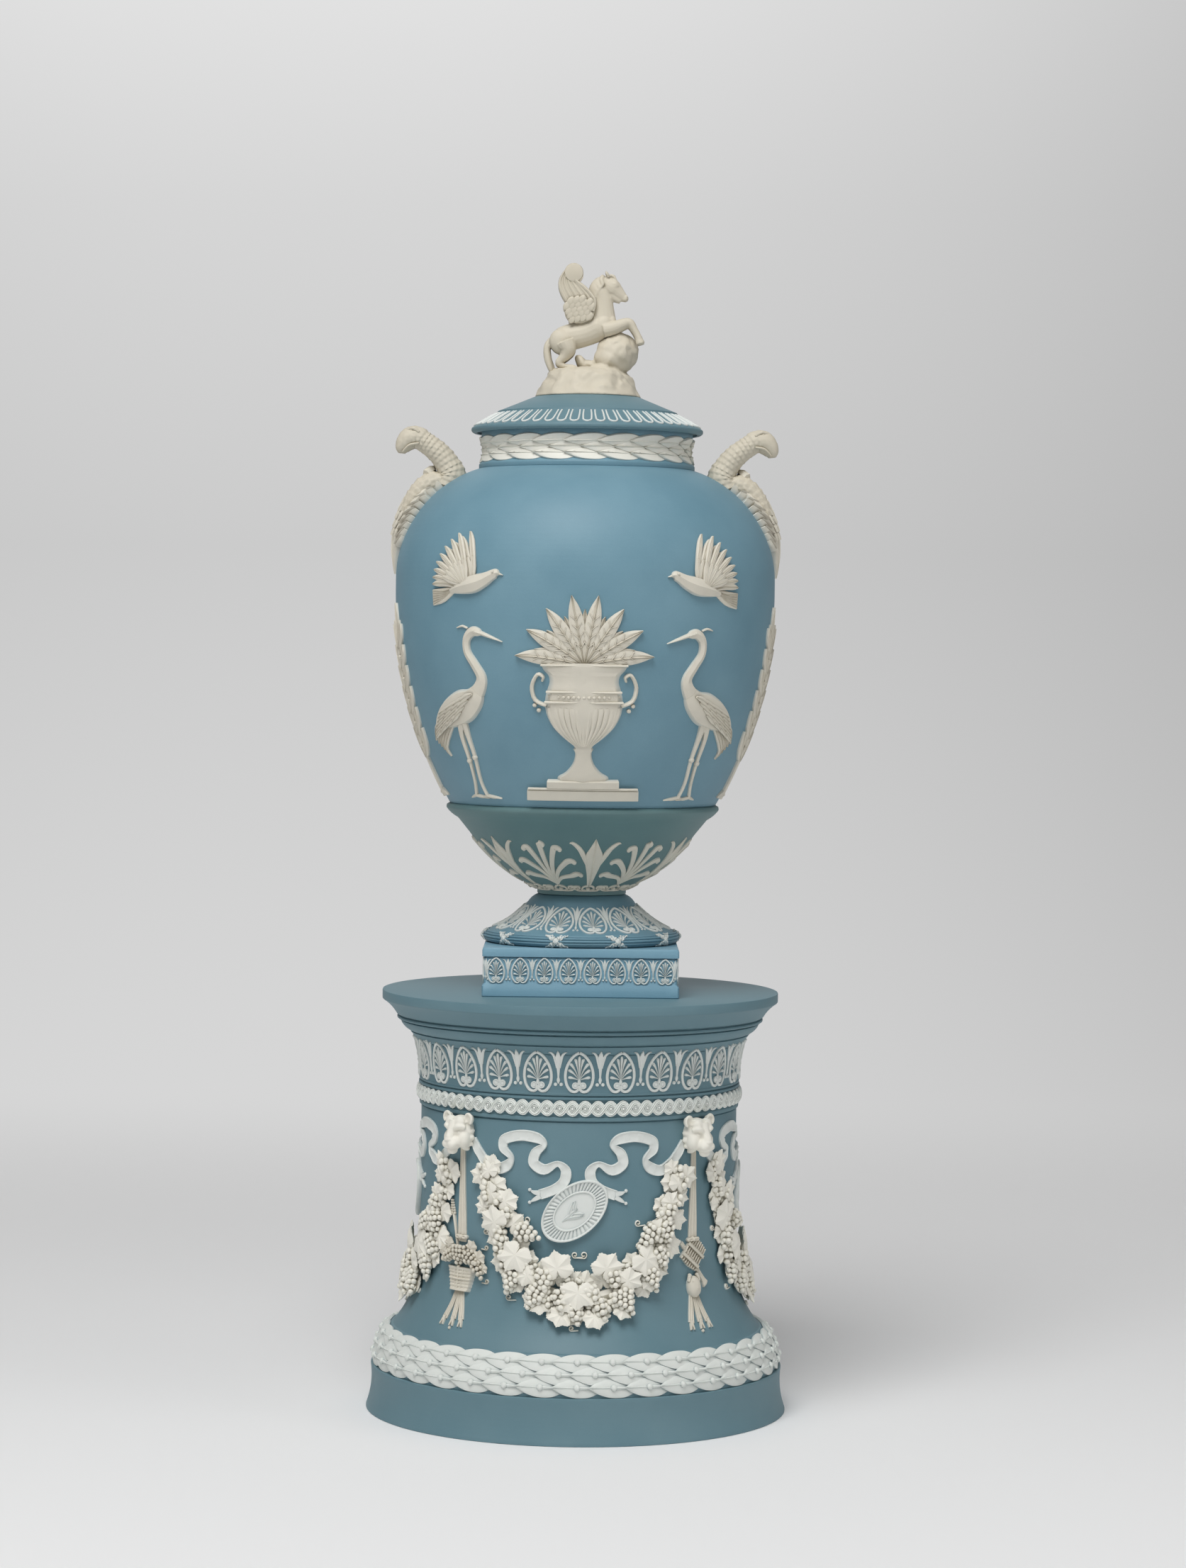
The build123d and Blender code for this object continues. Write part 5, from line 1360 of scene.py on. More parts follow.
for side in (-1, 1):
    pipes.dot(side * 1.5, 76.6, 0.75, 3.0)
    pipes.draw([(0.7, 78.2, 0.35, 0.7), (2.6, 78.5, 0.35, 0.6)], steps=3, lift=3.0, side=side)
    for row in range(4):
        pipes.dot(side * (3.6 - 0.3 * row), 79 + row * 0.9, 1.1, 1.6 - 0.1 * row)
pipes.draw([(0, 77.8, 0.4, 0.8), (0, 74.4, 0.8, 1.1)], lift=3.4)
pipes.draw([(-1.5, 72.7, 0.35, 0.5), (0, 72.3, 0.5, 0.6), (1.5, 72.7, 0.35, 0.5)], steps=3, lift=3.2)
bays("pipe_trophy", pipes.mesh("pipe trophy"), warm_white, 45, 2)
print("trophies", len(basket_mesh.polygons), "and", len(pipes.faces), "faces")

# %% [markdown]
# The main field of the body is a garden scene in flat relief: a footed urn with a spray of palm leaves,
# a crane on each side that looks towards it, doves above and bay trees at the ends, and the same on the
# back. Every part is a few strokes of clay: broad ones first, then feathers, flutes and veins laid over
# them.

# %% Main field: urn
FIELD_FOOT = 331.8
field_wall = Wall(belly + shoulder[1:], FIELD_FOOT)
URN_RIM = 71
urn = Clay(field_wall)
for z, half, high in ((3.7, 29, 2.4), (9.4, 18.4, 2.8)):
    urn.draw([(x, z, 3.5 if half > 20 else 2.4, high) for x in (-half, -half / 2, 0, half / 2, half)],
             PLAIN)
urn.draw([(x, 7.2, 0.55, 0.6) for x in (-28.6, -14, 0, 14, 28.6)], lift=2.1)
profile = [(11.4, 13.8, 2.6), (13.2, 13.2, 2.8), (15.4, 9.4, 2.8), (20, 5.6, 2.6), (25, 4.4, 2.6),
           (27.4, 5.4, 2.9), (29, 5.0, 2.9), (33, 10.4, 3.2), (39, 16.4, 3.8), (46, 20.0, 4.2),
           (53, 20.6, 4.2), (58, 19.6, 4.0), (62, 18.4, 3.6), (65.4, 19.0, 3.6), (68, 21.4, 3.8),
           (70.6, 22.8, 4.0), (72.4, 22.4, 3.6)]
urn.draw([(0, z, w, h) for z, w, h in profile], steps=3)
for k in range(-6, 7):
    fan_out = k / 6.4
    urn.draw([(fan_out * 4.6, 30, 0.5, 0.7), (fan_out * 14.6, 39, 1.2, 1.0),
              (fan_out * 18.2, 46.6, 1.5, 1.1), (fan_out * 18.4, 49.4, 1.3, 0.8)], steps=3,
             lift=2.9 - 1.6 * fan_out ** 2)
for z, half, lift in ((52.4, 20.2, 3.4), (57.6, 19.4, 3.1), (71.2, 22.4, 3.0)):
    urn.draw([(x * half, z, 0.6, 0.9) for x in (-0.99, -0.5, 0, 0.5, 0.99)], lift=lift - 0.5)
for k in range(-7, 8):
    urn.dot(k * 2.55, 55, 0.95, 3.5 - 0.05 * k * k)
for side in (-1, 1):
    urn.draw([(19.4, 50, 1.0, 1.8), (25.4, 53, 1.1, 2.0), (27.2, 60, 1.1, 2.0), (24.4, 66, 1.0, 2.0),
              (21.4, 65, 0.9, 2.0), (21.8, 62.6, 0.6, 1.8)], side=side)
    for x, z in ((23.4, 47.6), (25.6, 50.2)):
        urn.dot(side * x, z, 1.2, 0.4)
for k in range(15):
    turn = math.radians(-75 + k * 150 / 14)
    long = 37.5 if k % 2 == 0 else 29
    wide = 4.1 if k % 2 == 0 else 2.8
    palm = []
    for t, w in ((0, 0.25), (0.25, 0.6), (0.55, 1), (0.8, 0.72), (1, 0.05)):
        droop = 5 * t * t * math.sin(turn)
        palm.append((math.sin(turn) * long * t, URN_RIM + long * t * math.cos(turn) - abs(droop), wide * w,
                     1.7 + 0.5 * (k % 2 == 0)))
    urn.draw(palm, VEINED, lift=0.5 * (k % 2 == 0))
    for j in range(1, 5):
        for side in (-1, 1):
            t = 0.12 + 0.13 * j
            x0 = math.sin(turn) * long * t
            z0 = URN_RIM + long * t * math.cos(turn) - 5 * t * t * abs(math.sin(turn))
            spread = wide * 0.62
            x1 = x0 + math.cos(turn) * spread * side + math.sin(turn) * 3
            z1 = z0 - math.sin(turn) * spread * side + math.cos(turn) * 3
            urn.draw([(x0, z0, 0.18, 0.5), (x1, z1, 0.3, 0.3)], steps=2, lift=1.4 + 0.7 * (k % 2 == 0))
bays("urn_relief", urn.mesh("urn relief"), warm_white, 0, 2, "vase")
print("urn relief", len(urn.faces), "faces")

# %% [markdown]
# The cranes, doves and trees are each drawn once, looking right, with a side of 1 or -1 for the mirror
# image. Feathers are short veined strokes in overlapping rows, longest at the tail.

# %% Main field: birds and trees


def crane(clay, side, tall=92):
    """A wading bird with folded wings, a bent neck and one foot forward."""
    def stations(points):
        return [(side * tall * x, tall * z, tall * w, h) for x, z, w, h in points]

    clay.draw(stations([(-0.27, 0.4, 0.01, 1.2), (-0.2, 0.44, 0.05, 2.4), (-0.1, 0.485, 0.088, 3.4),
                        (0.02, 0.53, 0.1, 3.8), (0.1, 0.57, 0.075, 3.4), (0.145, 0.615, 0.05, 2.8)]),
              steps=5)
    clay.draw(stations([(0.1, 0.57, 0.06, 2.8), (0.165, 0.64, 0.043, 2.6), (0.186, 0.7, 0.034, 2.4),
                        (0.15, 0.77, 0.029, 2.3), (0.108, 0.84, 0.026, 2.3), (0.11, 0.91, 0.026, 2.4),
                        (0.15, 0.953, 0.03, 2.6), (0.19, 0.952, 0.026, 2.5), (0.215, 0.942, 0.012, 2.0)]),
              steps=5)
    clay.draw(stations([(0.2, 0.95, 0.014, 2.0), (0.28, 0.922, 0.009, 1.7), (0.345, 0.898, 0.002, 1.2)]),
              steps=3)
    clay.draw(stations([(0.12, 0.972, 0.006, 1.0), (0.08, 0.985, 0.007, 1.0), (0.04, 0.975, 0.003, 0.8)]),
              steps=3)
    clay.dot(side * tall * 0.172, tall * 0.958, 0.75, 2.2)
    for row, (count, long) in enumerate(((7, 0.2), (6, 0.16), (5, 0.12), (4, 0.09))):
        for k in range(count):
            t = k / max(count - 1, 1)
            x0 = -0.02 + 0.1 * t + 0.035 * row - 0.06
            z0 = 0.475 + 0.1 * t - 0.02 + 0.018 * row
            lean = math.radians(205 - 12 * t)
            feather = []
            for s, w in ((0, 0.35), (0.45, 1), (0.8, 0.8), (1, 0.15)):
                feather.append((x0 + long * s * math.cos(lean),
                                z0 + long * s * math.sin(lean) - 0.02 * s * s, 0.016 * w, 0.9))
            clay.draw(stations(feather), VEINED, steps=3, lift=2.5 + 0.35 * row)
    for k in range(6):
        drop = 0.05 * k
        clay.draw(stations([(-0.2 + 0.02 * k, 0.45 - 0.006 * k, 0.012, 1.4),
                            (-0.27 + 0.012 * k, 0.4 - drop * 0.4, 0.017, 1.4),
                            (-0.31 + 0.025 * k, 0.33 - drop * 0.35, 0.004, 0.9)]), VEINED, steps=3,
                  lift=0.3)
    for shift, knee, toe in ((0.0, 0.24, 0.02), (-0.05, 0.22, -0.07)):
        clay.draw(stations([(shift * 0.4, 0.46, 0.032, 2.2), (0.01 + shift, 0.36, 0.018, 1.7),
                            (0.02 + shift, knee, 0.013, 1.5), (0.008 + shift, 0.1, 0.011, 1.4),
                            (toe, 0.02, 0.012, 1.4)]))
        clay.dot(side * tall * (0.02 + shift), tall * knee, 1.6, 0.4)
        for dx in (0.1, 0.055, -0.05):
            clay.draw(stations([(toe, 0.02, 0.011, 1.3), (toe + dx * 0.6, 0.012, 0.009, 1.2),
                                (toe + dx, 0.006, 0.004, 0.9)]), steps=3)


DOVE_HIGH = 112


def dove(clay, side, span=25):
    """A bird in flight with raised wings and a spread tail."""
    def stations(points):
        return [(side * span * x, DOVE_HIGH + span * z, span * w, h) for x, z, w, h in points]

    for k in range(6):
        lean = -0.46 + 0.075 * k
        clay.draw(stations([(-0.34, -0.06, 0.05, 1.3), (-0.7, -0.1 + lean * 0.4, 0.075, 1.4),
                            (-1.05, -0.06 + lean * 0.75, 0.03, 1.0)]), VEINED, steps=3, lift=0.08 * k)
    wings = ((0.12, 0.08, 1.04, 0.2), (-0.02, 0.02, 1.08, 1.3))
    for wing, (root_x, root_z, long, lift) in enumerate(wings):
        for k in range(8):
            turn = math.radians(88 + 9.5 * k + 6 * wing)
            reach = long * (1 - 0.045 * k)
            x0, z0 = root_x - 0.035 * k, root_z - 0.01 * k
            rows = ((0, 0.5), (0.4, 0.9), (0.8, 1.0), (1, 0.3))
            line = blade(x0, z0, reach, turn, rows, 0.068, 1.3, 0.25)
            clay.draw(stations(line), VEINED, steps=3, lift=lift + 0.05 * (8 - k))
        for k in range(6):
            turn = math.radians(92 + 13 * k + 6 * wing)
            rows = ((0, 0.6), (0.3, 1.0), (0.5, 0.5))
            line = blade(root_x - 0.03 * k, root_z, 1, turn, rows, 0.075, 0.9)
            clay.draw(stations(line), VEINED, steps=3, lift=lift + 1.0)
    clay.draw(stations([(-0.5, -0.12, 0.06, 1.8), (-0.25, -0.05, 0.15, 3.2), (0.1, 0.02, 0.2, 4.0),
                        (0.36, 0.1, 0.16, 3.6), (0.54, 0.19, 0.12, 3.2), (0.66, 0.24, 0.1, 2.8),
                        (0.73, 0.23, 0.03, 2.0)]), steps=5)
    clay.draw(stations([(0.7, 0.235, 0.035, 1.8), (0.82, 0.2, 0.004, 1.2)]), steps=3)
    clay.dot(side * span * 0.62, DOVE_HIGH + span * 0.26, 0.7, 2.8)


def bay_tree(clay, side, tall=104):
    """A slender tree with pairs of leaves, berries and a little mound of earth."""
    clay.draw([(0, 0.5, 2.4, 2.0), (side * 0.6, tall * 0.2, 1.5, 2.0), (-side * 0.4, tall * 0.5, 1.3, 1.9),
               (0, tall * 0.8, 0.9, 1.8)], steps=5)
    clay.draw([(-8, 1.2, 0.6, 1.2), (-3, 2.6, 2.4, 2.2), (3, 2.6, 2.4, 2.2), (8.5, 1.2, 0.6, 1.2)])
    for k in range(11):
        foot = tall * (0.2 + 0.056 * k)
        for way in (-1, 1):
            big = k % 2 == 0
            long = tall * (0.2 if big else 0.15) * (1 - 0.02 * k)
            turn = math.radians(90 - way * (54 if big else 40))
            rows = ((0, 0.08), (0.25, 0.7), (0.55, 1), (0.82, 0.6), (1, 0.03))
            line = blade(0, foot, long, turn, rows, tall * 0.036, 1.5 + 0.4 * big, way * 0.25)
            clay.draw(line, VEINED, steps=3, lift=0.25 * big)
            if not big:
                clay.dot(way * 2.6, foot + 1.2, 1.0, 1.2)
    for turn, long in ((-22, 17), (22, 17), (0, 25)):
        rows = ((0, 0.1), (0.3, 0.8), (0.6, 1), (0.85, 0.55), (1, 0.03))
        line = blade(0, tall * 0.75, long, math.radians(90 - turn), rows, tall * 0.034, 1.9)
        clay.draw(line, VEINED, steps=3)


for node, motif, turn in (("crane_reliefs", crane, 43), ("dove_reliefs", dove, 36),
                          ("tree_reliefs", bay_tree, 79)):
    meshes = []
    for side in (1, -1):
        figure = Clay(field_wall)
        motif(figure, side)
        one = figure.mesh(node)
        meshes += [turned_copy(one, -side * turn), turned_copy(one, 180 - side * turn)]
    both = joined(node, *meshes)
    piece(both, warm_white, "vase", node)
    print(node, len(both.polygons), "faces")

# %% [markdown]
# Each handle is a pair of serpents that rise from a leaf on the shoulder. Their scales are real: the
# skin is a fine tube whose radius steps with a lattice of overlapping scales, so the light catches every
# edge.

# %% Serpents
NECK_SEAT = 507.8
MOST_ROUGH, LEAST_ROUGH = 0.75, 0.15
HEAD_Z, SNOUT_X, SNOUT_FADE = 5, 96, 10
serpent_lines = [[(74.6, -10, 7.8), (72.8, -4, 7.8), (74.6, 1, 6.9), (78.6, 6.6, 6.3), (83.4, 11, 5.9),
                  (88, 14.2, 5.7), (91.6, 16.4, 6.1), (95.2, 16, 6.2), (98.2, 13.2, 5.2), (99.8, 10.2, 3.8),
                  (100.2, 8, 2)],
                 [(75, -9, 6.4), (82, -8.2, 6.4), (88, -11.6, 6.2), (92.6, -17.6, 5.6), (96.2, -25, 4.4)]]


def scaly_tube(stations, across, points, faces, cells=14, scale=2.2, sides=56, step=0.42):
    """Adds a tube with overlapping scales, along stations of reach, height over the neck's seat and radius.

    The scales are flatter towards the tip of the snout."""
    fine = flow(stations, 24)
    line, walked = [fine[0]], 0.0
    for a, b in zip(fine, fine[1:]):
        walked += math.hypot(b[0] - a[0], b[1] - a[1])
        if walked >= step:
            line.append(b)
            walked = 0.0
    first = len(points)
    for i, (x, z, r) in enumerate(line):
        dx, dz = way_at(line, i)
        length = math.hypot(dx, dz)
        snout = max(LEAST_ROUGH, min(MOST_ROUGH, (SNOUT_X - x) / SNOUT_FADE))
        rough = MOST_ROUGH if z < HEAD_Z else snout
        row, along = divmod(i * step, scale)
        for k in range(sides):
            turn = math.tau * k / sides
            cell = (k / sides * cells + 0.5 * (row % 2)) % 1 - 0.5
            bump = rough * (1 - along / scale) * (1 - (2 * cell) ** 2)
            belly_side = max(0, math.sin(turn))
            reach = r + bump * min(1, r / 4) * (1 - 0.7 * belly_side) - 0.3
            points.append((x + dz / length * reach * math.sin(turn), across + reach * math.cos(turn),
                           NECK_SEAT + z - dx / length * reach * math.sin(turn)))
    faces += tube_faces(first, len(line), sides)


snake_points, snake_faces = [], []
for across in (-5, 5):
    for stations in serpent_lines:
        scaly_tube(stations, across, snake_points, snake_faces)
scaled = mesh_of("serpents", snake_points, snake_faces)
heads = bmesh.new()
for across in (-5, 5):
    for side in (-1, 1):
        lump(heads, (94.4, across + side * 4.2, NECK_SEAT + 19.4), (1.3, 1.0, 1.2))
        rope(heads, [(90.4, across + side * 4.8, NECK_SEAT + 19, 0.8),
                     (93.8, across + side * 4.6, NECK_SEAT + 21, 1.0),
                     (97.4, across + side * 2.8, NECK_SEAT + 20, 0.6)], sides=10)
        rope(heads, [(90.4, across + side * 5.2, NECK_SEAT + 13, 0.6),
                     (95.4, across + side * 5, NECK_SEAT + 12, 0.7),
                     (99, across + side * 2.6, NECK_SEAT + 8.6, 0.6)], sides=10)
head_mesh = bpy.data.meshes.new("serpent brows")
bmesh.ops.recalc_face_normals(heads, faces=heads.faces)
heads.to_mesh(head_mesh)
heads.free()
serpent_mesh = joined("serpents", scaled, head_mesh)
print("a pair of serpents", len(serpent_mesh.polygons), "faces")

# %% [markdown]
# The leaf hugs the shoulder: a long smooth tip below, and above it an edge of lobes and rows of small
# leaves that ride over the serpents' coils, rolled over at the top.

# %% Leaf mounts
mount = Clay(Wall(belly + shoulder[1:]))
spine = [(450.6, 0.6, 1.2), (456, 2.8, 2.8), (463, 5.6, 5.2), (470, 8.4, 7.4), (477, 10.8, 9.6),
         (484, 12.4, 11.4), (490, 12.6, 12), (495, 10.6, 12.2), (499, 6.6, 11.6)]


def mount_high(z):
    """How far the leaf stands out over the wall at a height."""
    return read_off([(height, high) for height, w, high in spine], z)


mount.draw([(0, z, w, h) for z, w, h in spine], VEINED, steps=5)
for k in range(9):
    t = k / 8
    z, w = 468 + 27 * t, 8.0 + 5.4 * math.sin(math.pi * (0.15 + 0.75 * t))
    high = 0.68 * mount_high(z)
    for side in (-1, 1):
        mount.draw([(w * 0.55, z - 2.4, 1.2, high), (w * 0.9, z, 1.9, high * 0.85),
                    (w + 1.6, z + 2.6, 0.4, high * 0.6)], VEINED, steps=3, side=side)
for row in range(7):
    z = 472 + row * 3.7
    for k in range(-2, 3):
        x = (k + 0.5 * (row % 2)) * 3.3
        if abs(x) < 7.6:
            lift = 0.84 * mount_high(z) - 0.045 * x * x
            mount.draw([(x, z + 2.4, 0.7, 0.7), (x, z, 1.6, 1.2), (x * 1.02, z - 2.8, 0.2, 0.9)], VEINED,
                       steps=3, lift=lift)
roll = []
for k in range(7):
    roll.append(((k - 3) * 1.9, 498.4 - 0.25 * (k - 3) ** 2, 1.7, 3.0))
mount.draw(roll, steps=3, lift=10.4)
mount_mesh = mount.mesh("leaf mount")
for name, turn in (("right", 0), ("left", 180)):
    piece(turned_copy(serpent_mesh, turn), shaded_white, "vase", f"serpents_{name}", crisp=60)
    piece(turned_copy(mount_mesh, 90 + turn), warm_white, "vase", f"leaf_mount_{name}")
print("leaf mount", len(mount_mesh.polygons), "faces")

# %% [markdown]
# The finial is a winged horse that rears over a rock. It is modelled like the masks, from lumps and
# ropes in one remeshed skin: the barrel, haunches, chest and neck first, then the head, legs, mane and
# tail. Places are along, across and up from the top of the mound.

# %% Winged horse
TOP = 561.5


def limb(stations, side=1, sides=14, slim=1.0):
    """A rope of the horse, on its right or its left, with heights over the mound's top."""
    rope(horse, [(x, side * y, TOP + z, r) for x, y, z, r in stations], sides=sides, slim=slim)


horse = bmesh.new()
limb([(-19, 0, 15.4, 3.4), (-15.6, 0, 15.8, 6.6), (-9, 0, 18, 7.2), (-1, 0, 20.0, 6.8), (6, 0, 23.4, 7.2),
      (11.4, 0, 25.6, 4.6)], sides=18, slim=0.84)
limb([(7.6, 0, 25.4, 7.6), (7.4, 0, 32, 6.5), (6.8, 0, 38, 5.8), (5.2, 0, 43, 5.5), (6.4, 0, 46.6, 4.2),
      (9.6, 0, 47.6, 3.2)], sides=18, slim=0.72)
limb([(9.5, 0, 46.4, 4.4), (12.6, 0, 44.5, 4.9), (15.4, 0, 42.2, 3.8), (18, 0, 39.9, 2.7),
      (19.3, 0, 38.8, 2.2)], slim=0.72)
limb([(12, 0, 41, 3.2), (14.8, 0, 38.9, 2.4), (17.2, 0, 37.4, 1.6)], slim=0.75)
lump(horse, (11.2, 0, TOP + 46.2), (4.4, 3.1, 3.9), (0, 30, 0))
lump(horse, (19.4, 0, TOP + 38.9), (2.0, 1.8, 2.0), (0, 40, 0))
for side in (-1, 1):
    lump(horse, (-14.6, side * 3.2, TOP + 15.2), (6.4, 4.2, 7.0), (0, -20, 0))
    lump(horse, (7.4, side * 3.2, TOP + 23.6), (5.0, 3.4, 6.4), (0, 25, 0))
    lump(horse, (12.0, side * 2.0, TOP + 26.2), (3.0, 2.6, 3.6))
    lump(horse, (14.2, side * 2.7, TOP + 45.2), (1.1, 0.8, 0.8))
    limb([(12.2, 2.6, 46.2, 0.6), (14.2, 2.9, 46.6, 0.7), (15.8, 2.4, 45.2, 0.5)], side, sides=8)
    limb([(10.4, 1.6, 50.2, 1.0), (9.6, 2.2, 52.0, 0.9), (8.8, 2.5, 53.4, 0.35)], side, sides=10)
    lump(horse, (20.4, side * 1.2, TOP + 40.0), (0.7, 0.5, 0.6))
    limb([(8.2, 3.8, 21.6, 4.2), (13.8, 4.4, 22.8, 3.6), (18.8, 4.6, 25, 3), (22.2, 4.6, 25.4, 2.5),
          (24.6, 4.6, 22, 2), (26.2, 4.6, 19.2, 1.9), (26.9, 4.6, 17.8, 2), (27.4, 4.6, 16.4, 2)], side)
    limb([(27, 4.6, 17.2, 1.9), (27.8, 4.6, 15.2, 2.4), (28.1, 4.6, 14.2, 2.3)], side)
    lump(horse, (22, side * 4.6, TOP + 25.6), (2.3, 2.1, 2.2))
    limb([(-12.6, 4.2, 14.6, 5.4), (-11.2, 4.8, 10.8, 4.6), (-12.6, 4.9, 7.4, 3.0), (-15.0, 4.9, 5.0, 2.1),
          (-15.8, 4.9, 3.6, 1.9), (-13.6, 4.9, 2.2, 1.5), (-10.6, 4.9, 1.6, 1.4), (-8.6, 4.9, 1.3, 1.6)],
         side)
    limb([(-9.0, 4.9, 1.4, 1.5), (-7.4, 4.9, 0.6, 1.9), (-6.8, 4.9, 0.2, 1.8)], side, sides=12)
    for k in range(9):
        t = k / 8
        x, z = 7.6 - 7.6 * t ** 0.7, 51.0 - 17.4 * t
        limb([(x, 0.4, z, 1.2), (x - 1.0, 2.2, z - 2.2, 1.2), (x - 0.2, 3.4, z - 4.8, 0.9),
              (x - 1.0, 3.8, z - 6.6, 0.3)], side, sides=9)
for k in range(3):
    limb([(11.2, (k - 1) * 0.8, 51.4, 0.8), (13.4, (k - 1) * 1.0, 50.6, 0.8),
          (14.8, (k - 1) * 1.2, 48.4, 0.4)], sides=9)
for k in range(6):
    sway = (k - 2.5) * 0.8
    limb([(-19, sway * 0.3, 17, 1.8), (-22, sway * 0.8, 13, 1.9),
          (-22 + 0.5 * (k % 2), sway * 1.2, 6.4, 1.9), (-20.4 + 0.6 * (k % 3), sway * 1.3, 1, 1.5),
          (-19.4 + 0.4 * (k % 2), sway, -2, 0.8)], sides=9)
horse_mesh = modelled("winged horse", horse, 0.4, 2)
piece(horse_mesh, shaded_white, "lid", "winged_horse", crisp=70)
print("horse", len(horse_mesh.polygons), "faces")

# %% [markdown]
# A wing is a fan of long feathers that sweep up from the shoulder and curl at the tip, over a lobe of
# small round ones. The long feathers are drawn between two edge lines, so they follow the sweep by
# themselves.

# %% Wings


class WingSide:
    """An upright plane beside the horse that leans outwards as it rises."""

    def __init__(self, side):
        self.side = side

    def at(self, x, y, h):
        return x, self.side * (4.4 + 0.05 * (y - 25) + h), TOP + y


FEATHER = [(-1, 0.02), (-0.7, 0.75), (0, 1), (0.7, 0.75), (1, 0.02), (0.7, -0.75), (0, -1), (-0.7, -0.75)]
lead = [(2.2, 31.5), (3.0, 35), (2.4, 38.7), (-1.9, 43.5), (-5.4, 46.2), (-7.6, 48)]
trail = [(-12.2, 32.4), (-11.6, 35.3), (-14.1, 39.2), (-16.2, 44.5), (-15.7, 49.2), (-13, 53.6)]
lobe_x, lobe_z, lobe_reach = -4.8, 32.4, 7
lobe_rows = [(7.9, -0.9), (7.9, 0.5), (7.4, 1.2), (6, 1.6), (3, 1.9), (0.1, 2)]
curl_rows = [(5.1, -0.9), (5.1, 1.3), (4.8, 1.9), (4.1, 2.1), (0.1, 2.3)]
wing_meshes = []
for side in (-1, 1):
    wing = Clay(WingSide(side))
    wing.sheer = False
    for j in range(10):
        share = (j + 0.5) / 10
        line = []
        for (lx, lz), (tx, tz) in zip(lead, trail):
            gap = math.hypot(tx - lx, tz - lz)
            line.append((lx + (tx - lx) * share, lz + (tz - lz) * share, max(gap * 0.07, 0.35),
                         0.9 + 0.25 * (j % 2)))
        wing.stroke(line, FEATHER, steps=5, lift=0.9 - 0.05 * j)
    wing.stroke([(x, z, 1.1, 1.3) for x, z in lead], FEATHER, steps=5, lift=1.0)
    wing.boss(lobe_x, lobe_z, lobe_rows, 32, lambda turn: 1 + 0.06 * math.cos(2 * turn - 0.6))
    for row in range(5):
        for k in range(5):
            x = 2.6 - 3.0 * (k + 0.5 * (row % 2)) - 0.5 * row
            z = 39.0 - 2.5 * row - 0.5 * k
            if math.hypot(x - lobe_x, z - lobe_z) < lobe_reach:
                wing.stroke([(x + 1.4, z + 1.4, 1.3, 0.5), (x, z, 1.9, 0.9), (x - 1.1, z - 1.5, 1.6, 0.8),
                             (x - 1.7, z - 2.6, 0.4, 0.5)], FEATHER, steps=3, lift=1.4 + 0.15 * (5 - row))
    wing.boss(-8.2, 52, curl_rows, 28)
    wing_meshes.append(wing.mesh("wing"))
piece(joined("wings", *wing_meshes), shaded_white, "lid", "wings")
print("wings", [len(mesh.polygons) for mesh in wing_meshes], "faces")

# %% [markdown]
# The rock is a rounded mound with a wavy foot and a boulder under the forelegs. Its lumps are remeshed,
# and two noises, a coarse one and a fine one, then shift the skin to give the hacked look of the clay.
# The shift fades out towards the foot, so the rock keeps its seat on the lid. The noise has a fixed seed,
# so every run makes the same rock.

# %% Rock
rock = bmesh.new()
mound_sides, rock_seat, seat_fade, rock_seed = 72, 547.4, 4, 5
mound = [(28.4, 546.95), (28.4, 547.6), (25.8, 551.6), (23.4, 555.6), (21.6, 559), (19.4, 561.4),
         (17.0, 562.4)]
rows = []
for r, z in mound:
    row = []
    for k in range(mound_sides):
        turn = math.tau * k / mound_sides
        wave = 1 + 0.012 * math.sin(5 * turn) + 0.01 * math.sin(11 * turn + 1)
        row.append(rock.verts.new(Vector((r * wave * math.cos(turn), r * wave * math.sin(turn), z)) * MM))
    rows.append(row)
close_rows(rock, rows)
for x, y, z, radii, turn in ((15, 0, 9.4, (10.6, 9.6, 11), (0, 12, 0)),
                             (18, 1, 10.4, (8.8, 8, 9.6), (0, -14, 0)),
                             (11.4, -2, 5.4, (8.6, 8, 7.6), (0, 30, 0)),
                             (3, 2, 2.6, (7, 7, 3.6), (0, 10, 0)),
                             (-3.4, 1, 4.2, (3, 4.4, 4.8), (0, -24, 0)),
                             (7, -4, 1.4, (6, 7, 3.4), (0, 0, 20)),
                             (-15, 0, -0.8, (6.4, 7.2, 2.4), (0, -8, 0))):
    lump(rock, (x, y, TOP + z), radii, turn)
rock_mesh = modelled("finial rock", rock, 0.55, 3)
noise.seed_set(rock_seed)
for vertex in rock_mesh.vertices:
    spot = vertex.co / MM
    push = noise.noise_vector(spot * 0.1) * 1.6 + noise.noise_vector(spot * 0.24 + Vector((7, 3, 1))) * 0.7
    vertex.co += push * min(1, max(0, (spot.z - rock_seat) / seat_fade)) * MM
piece(rock_mesh, shaded_white, "lid", "finial_rock", crisp=80)
print("rock", len(rock_mesh.polygons), "faces")

# %% [markdown]
# The floor runs up into a wall in one sweep, as a photographer's paper does. Near the object the floor
# is plain lit paper and takes its shadow. Further off, what the camera sees is a glowing grey with light
# and shade painted in: palest at the top and darker towards the sides, most of all the right one, so
# the background needs no light of its own.

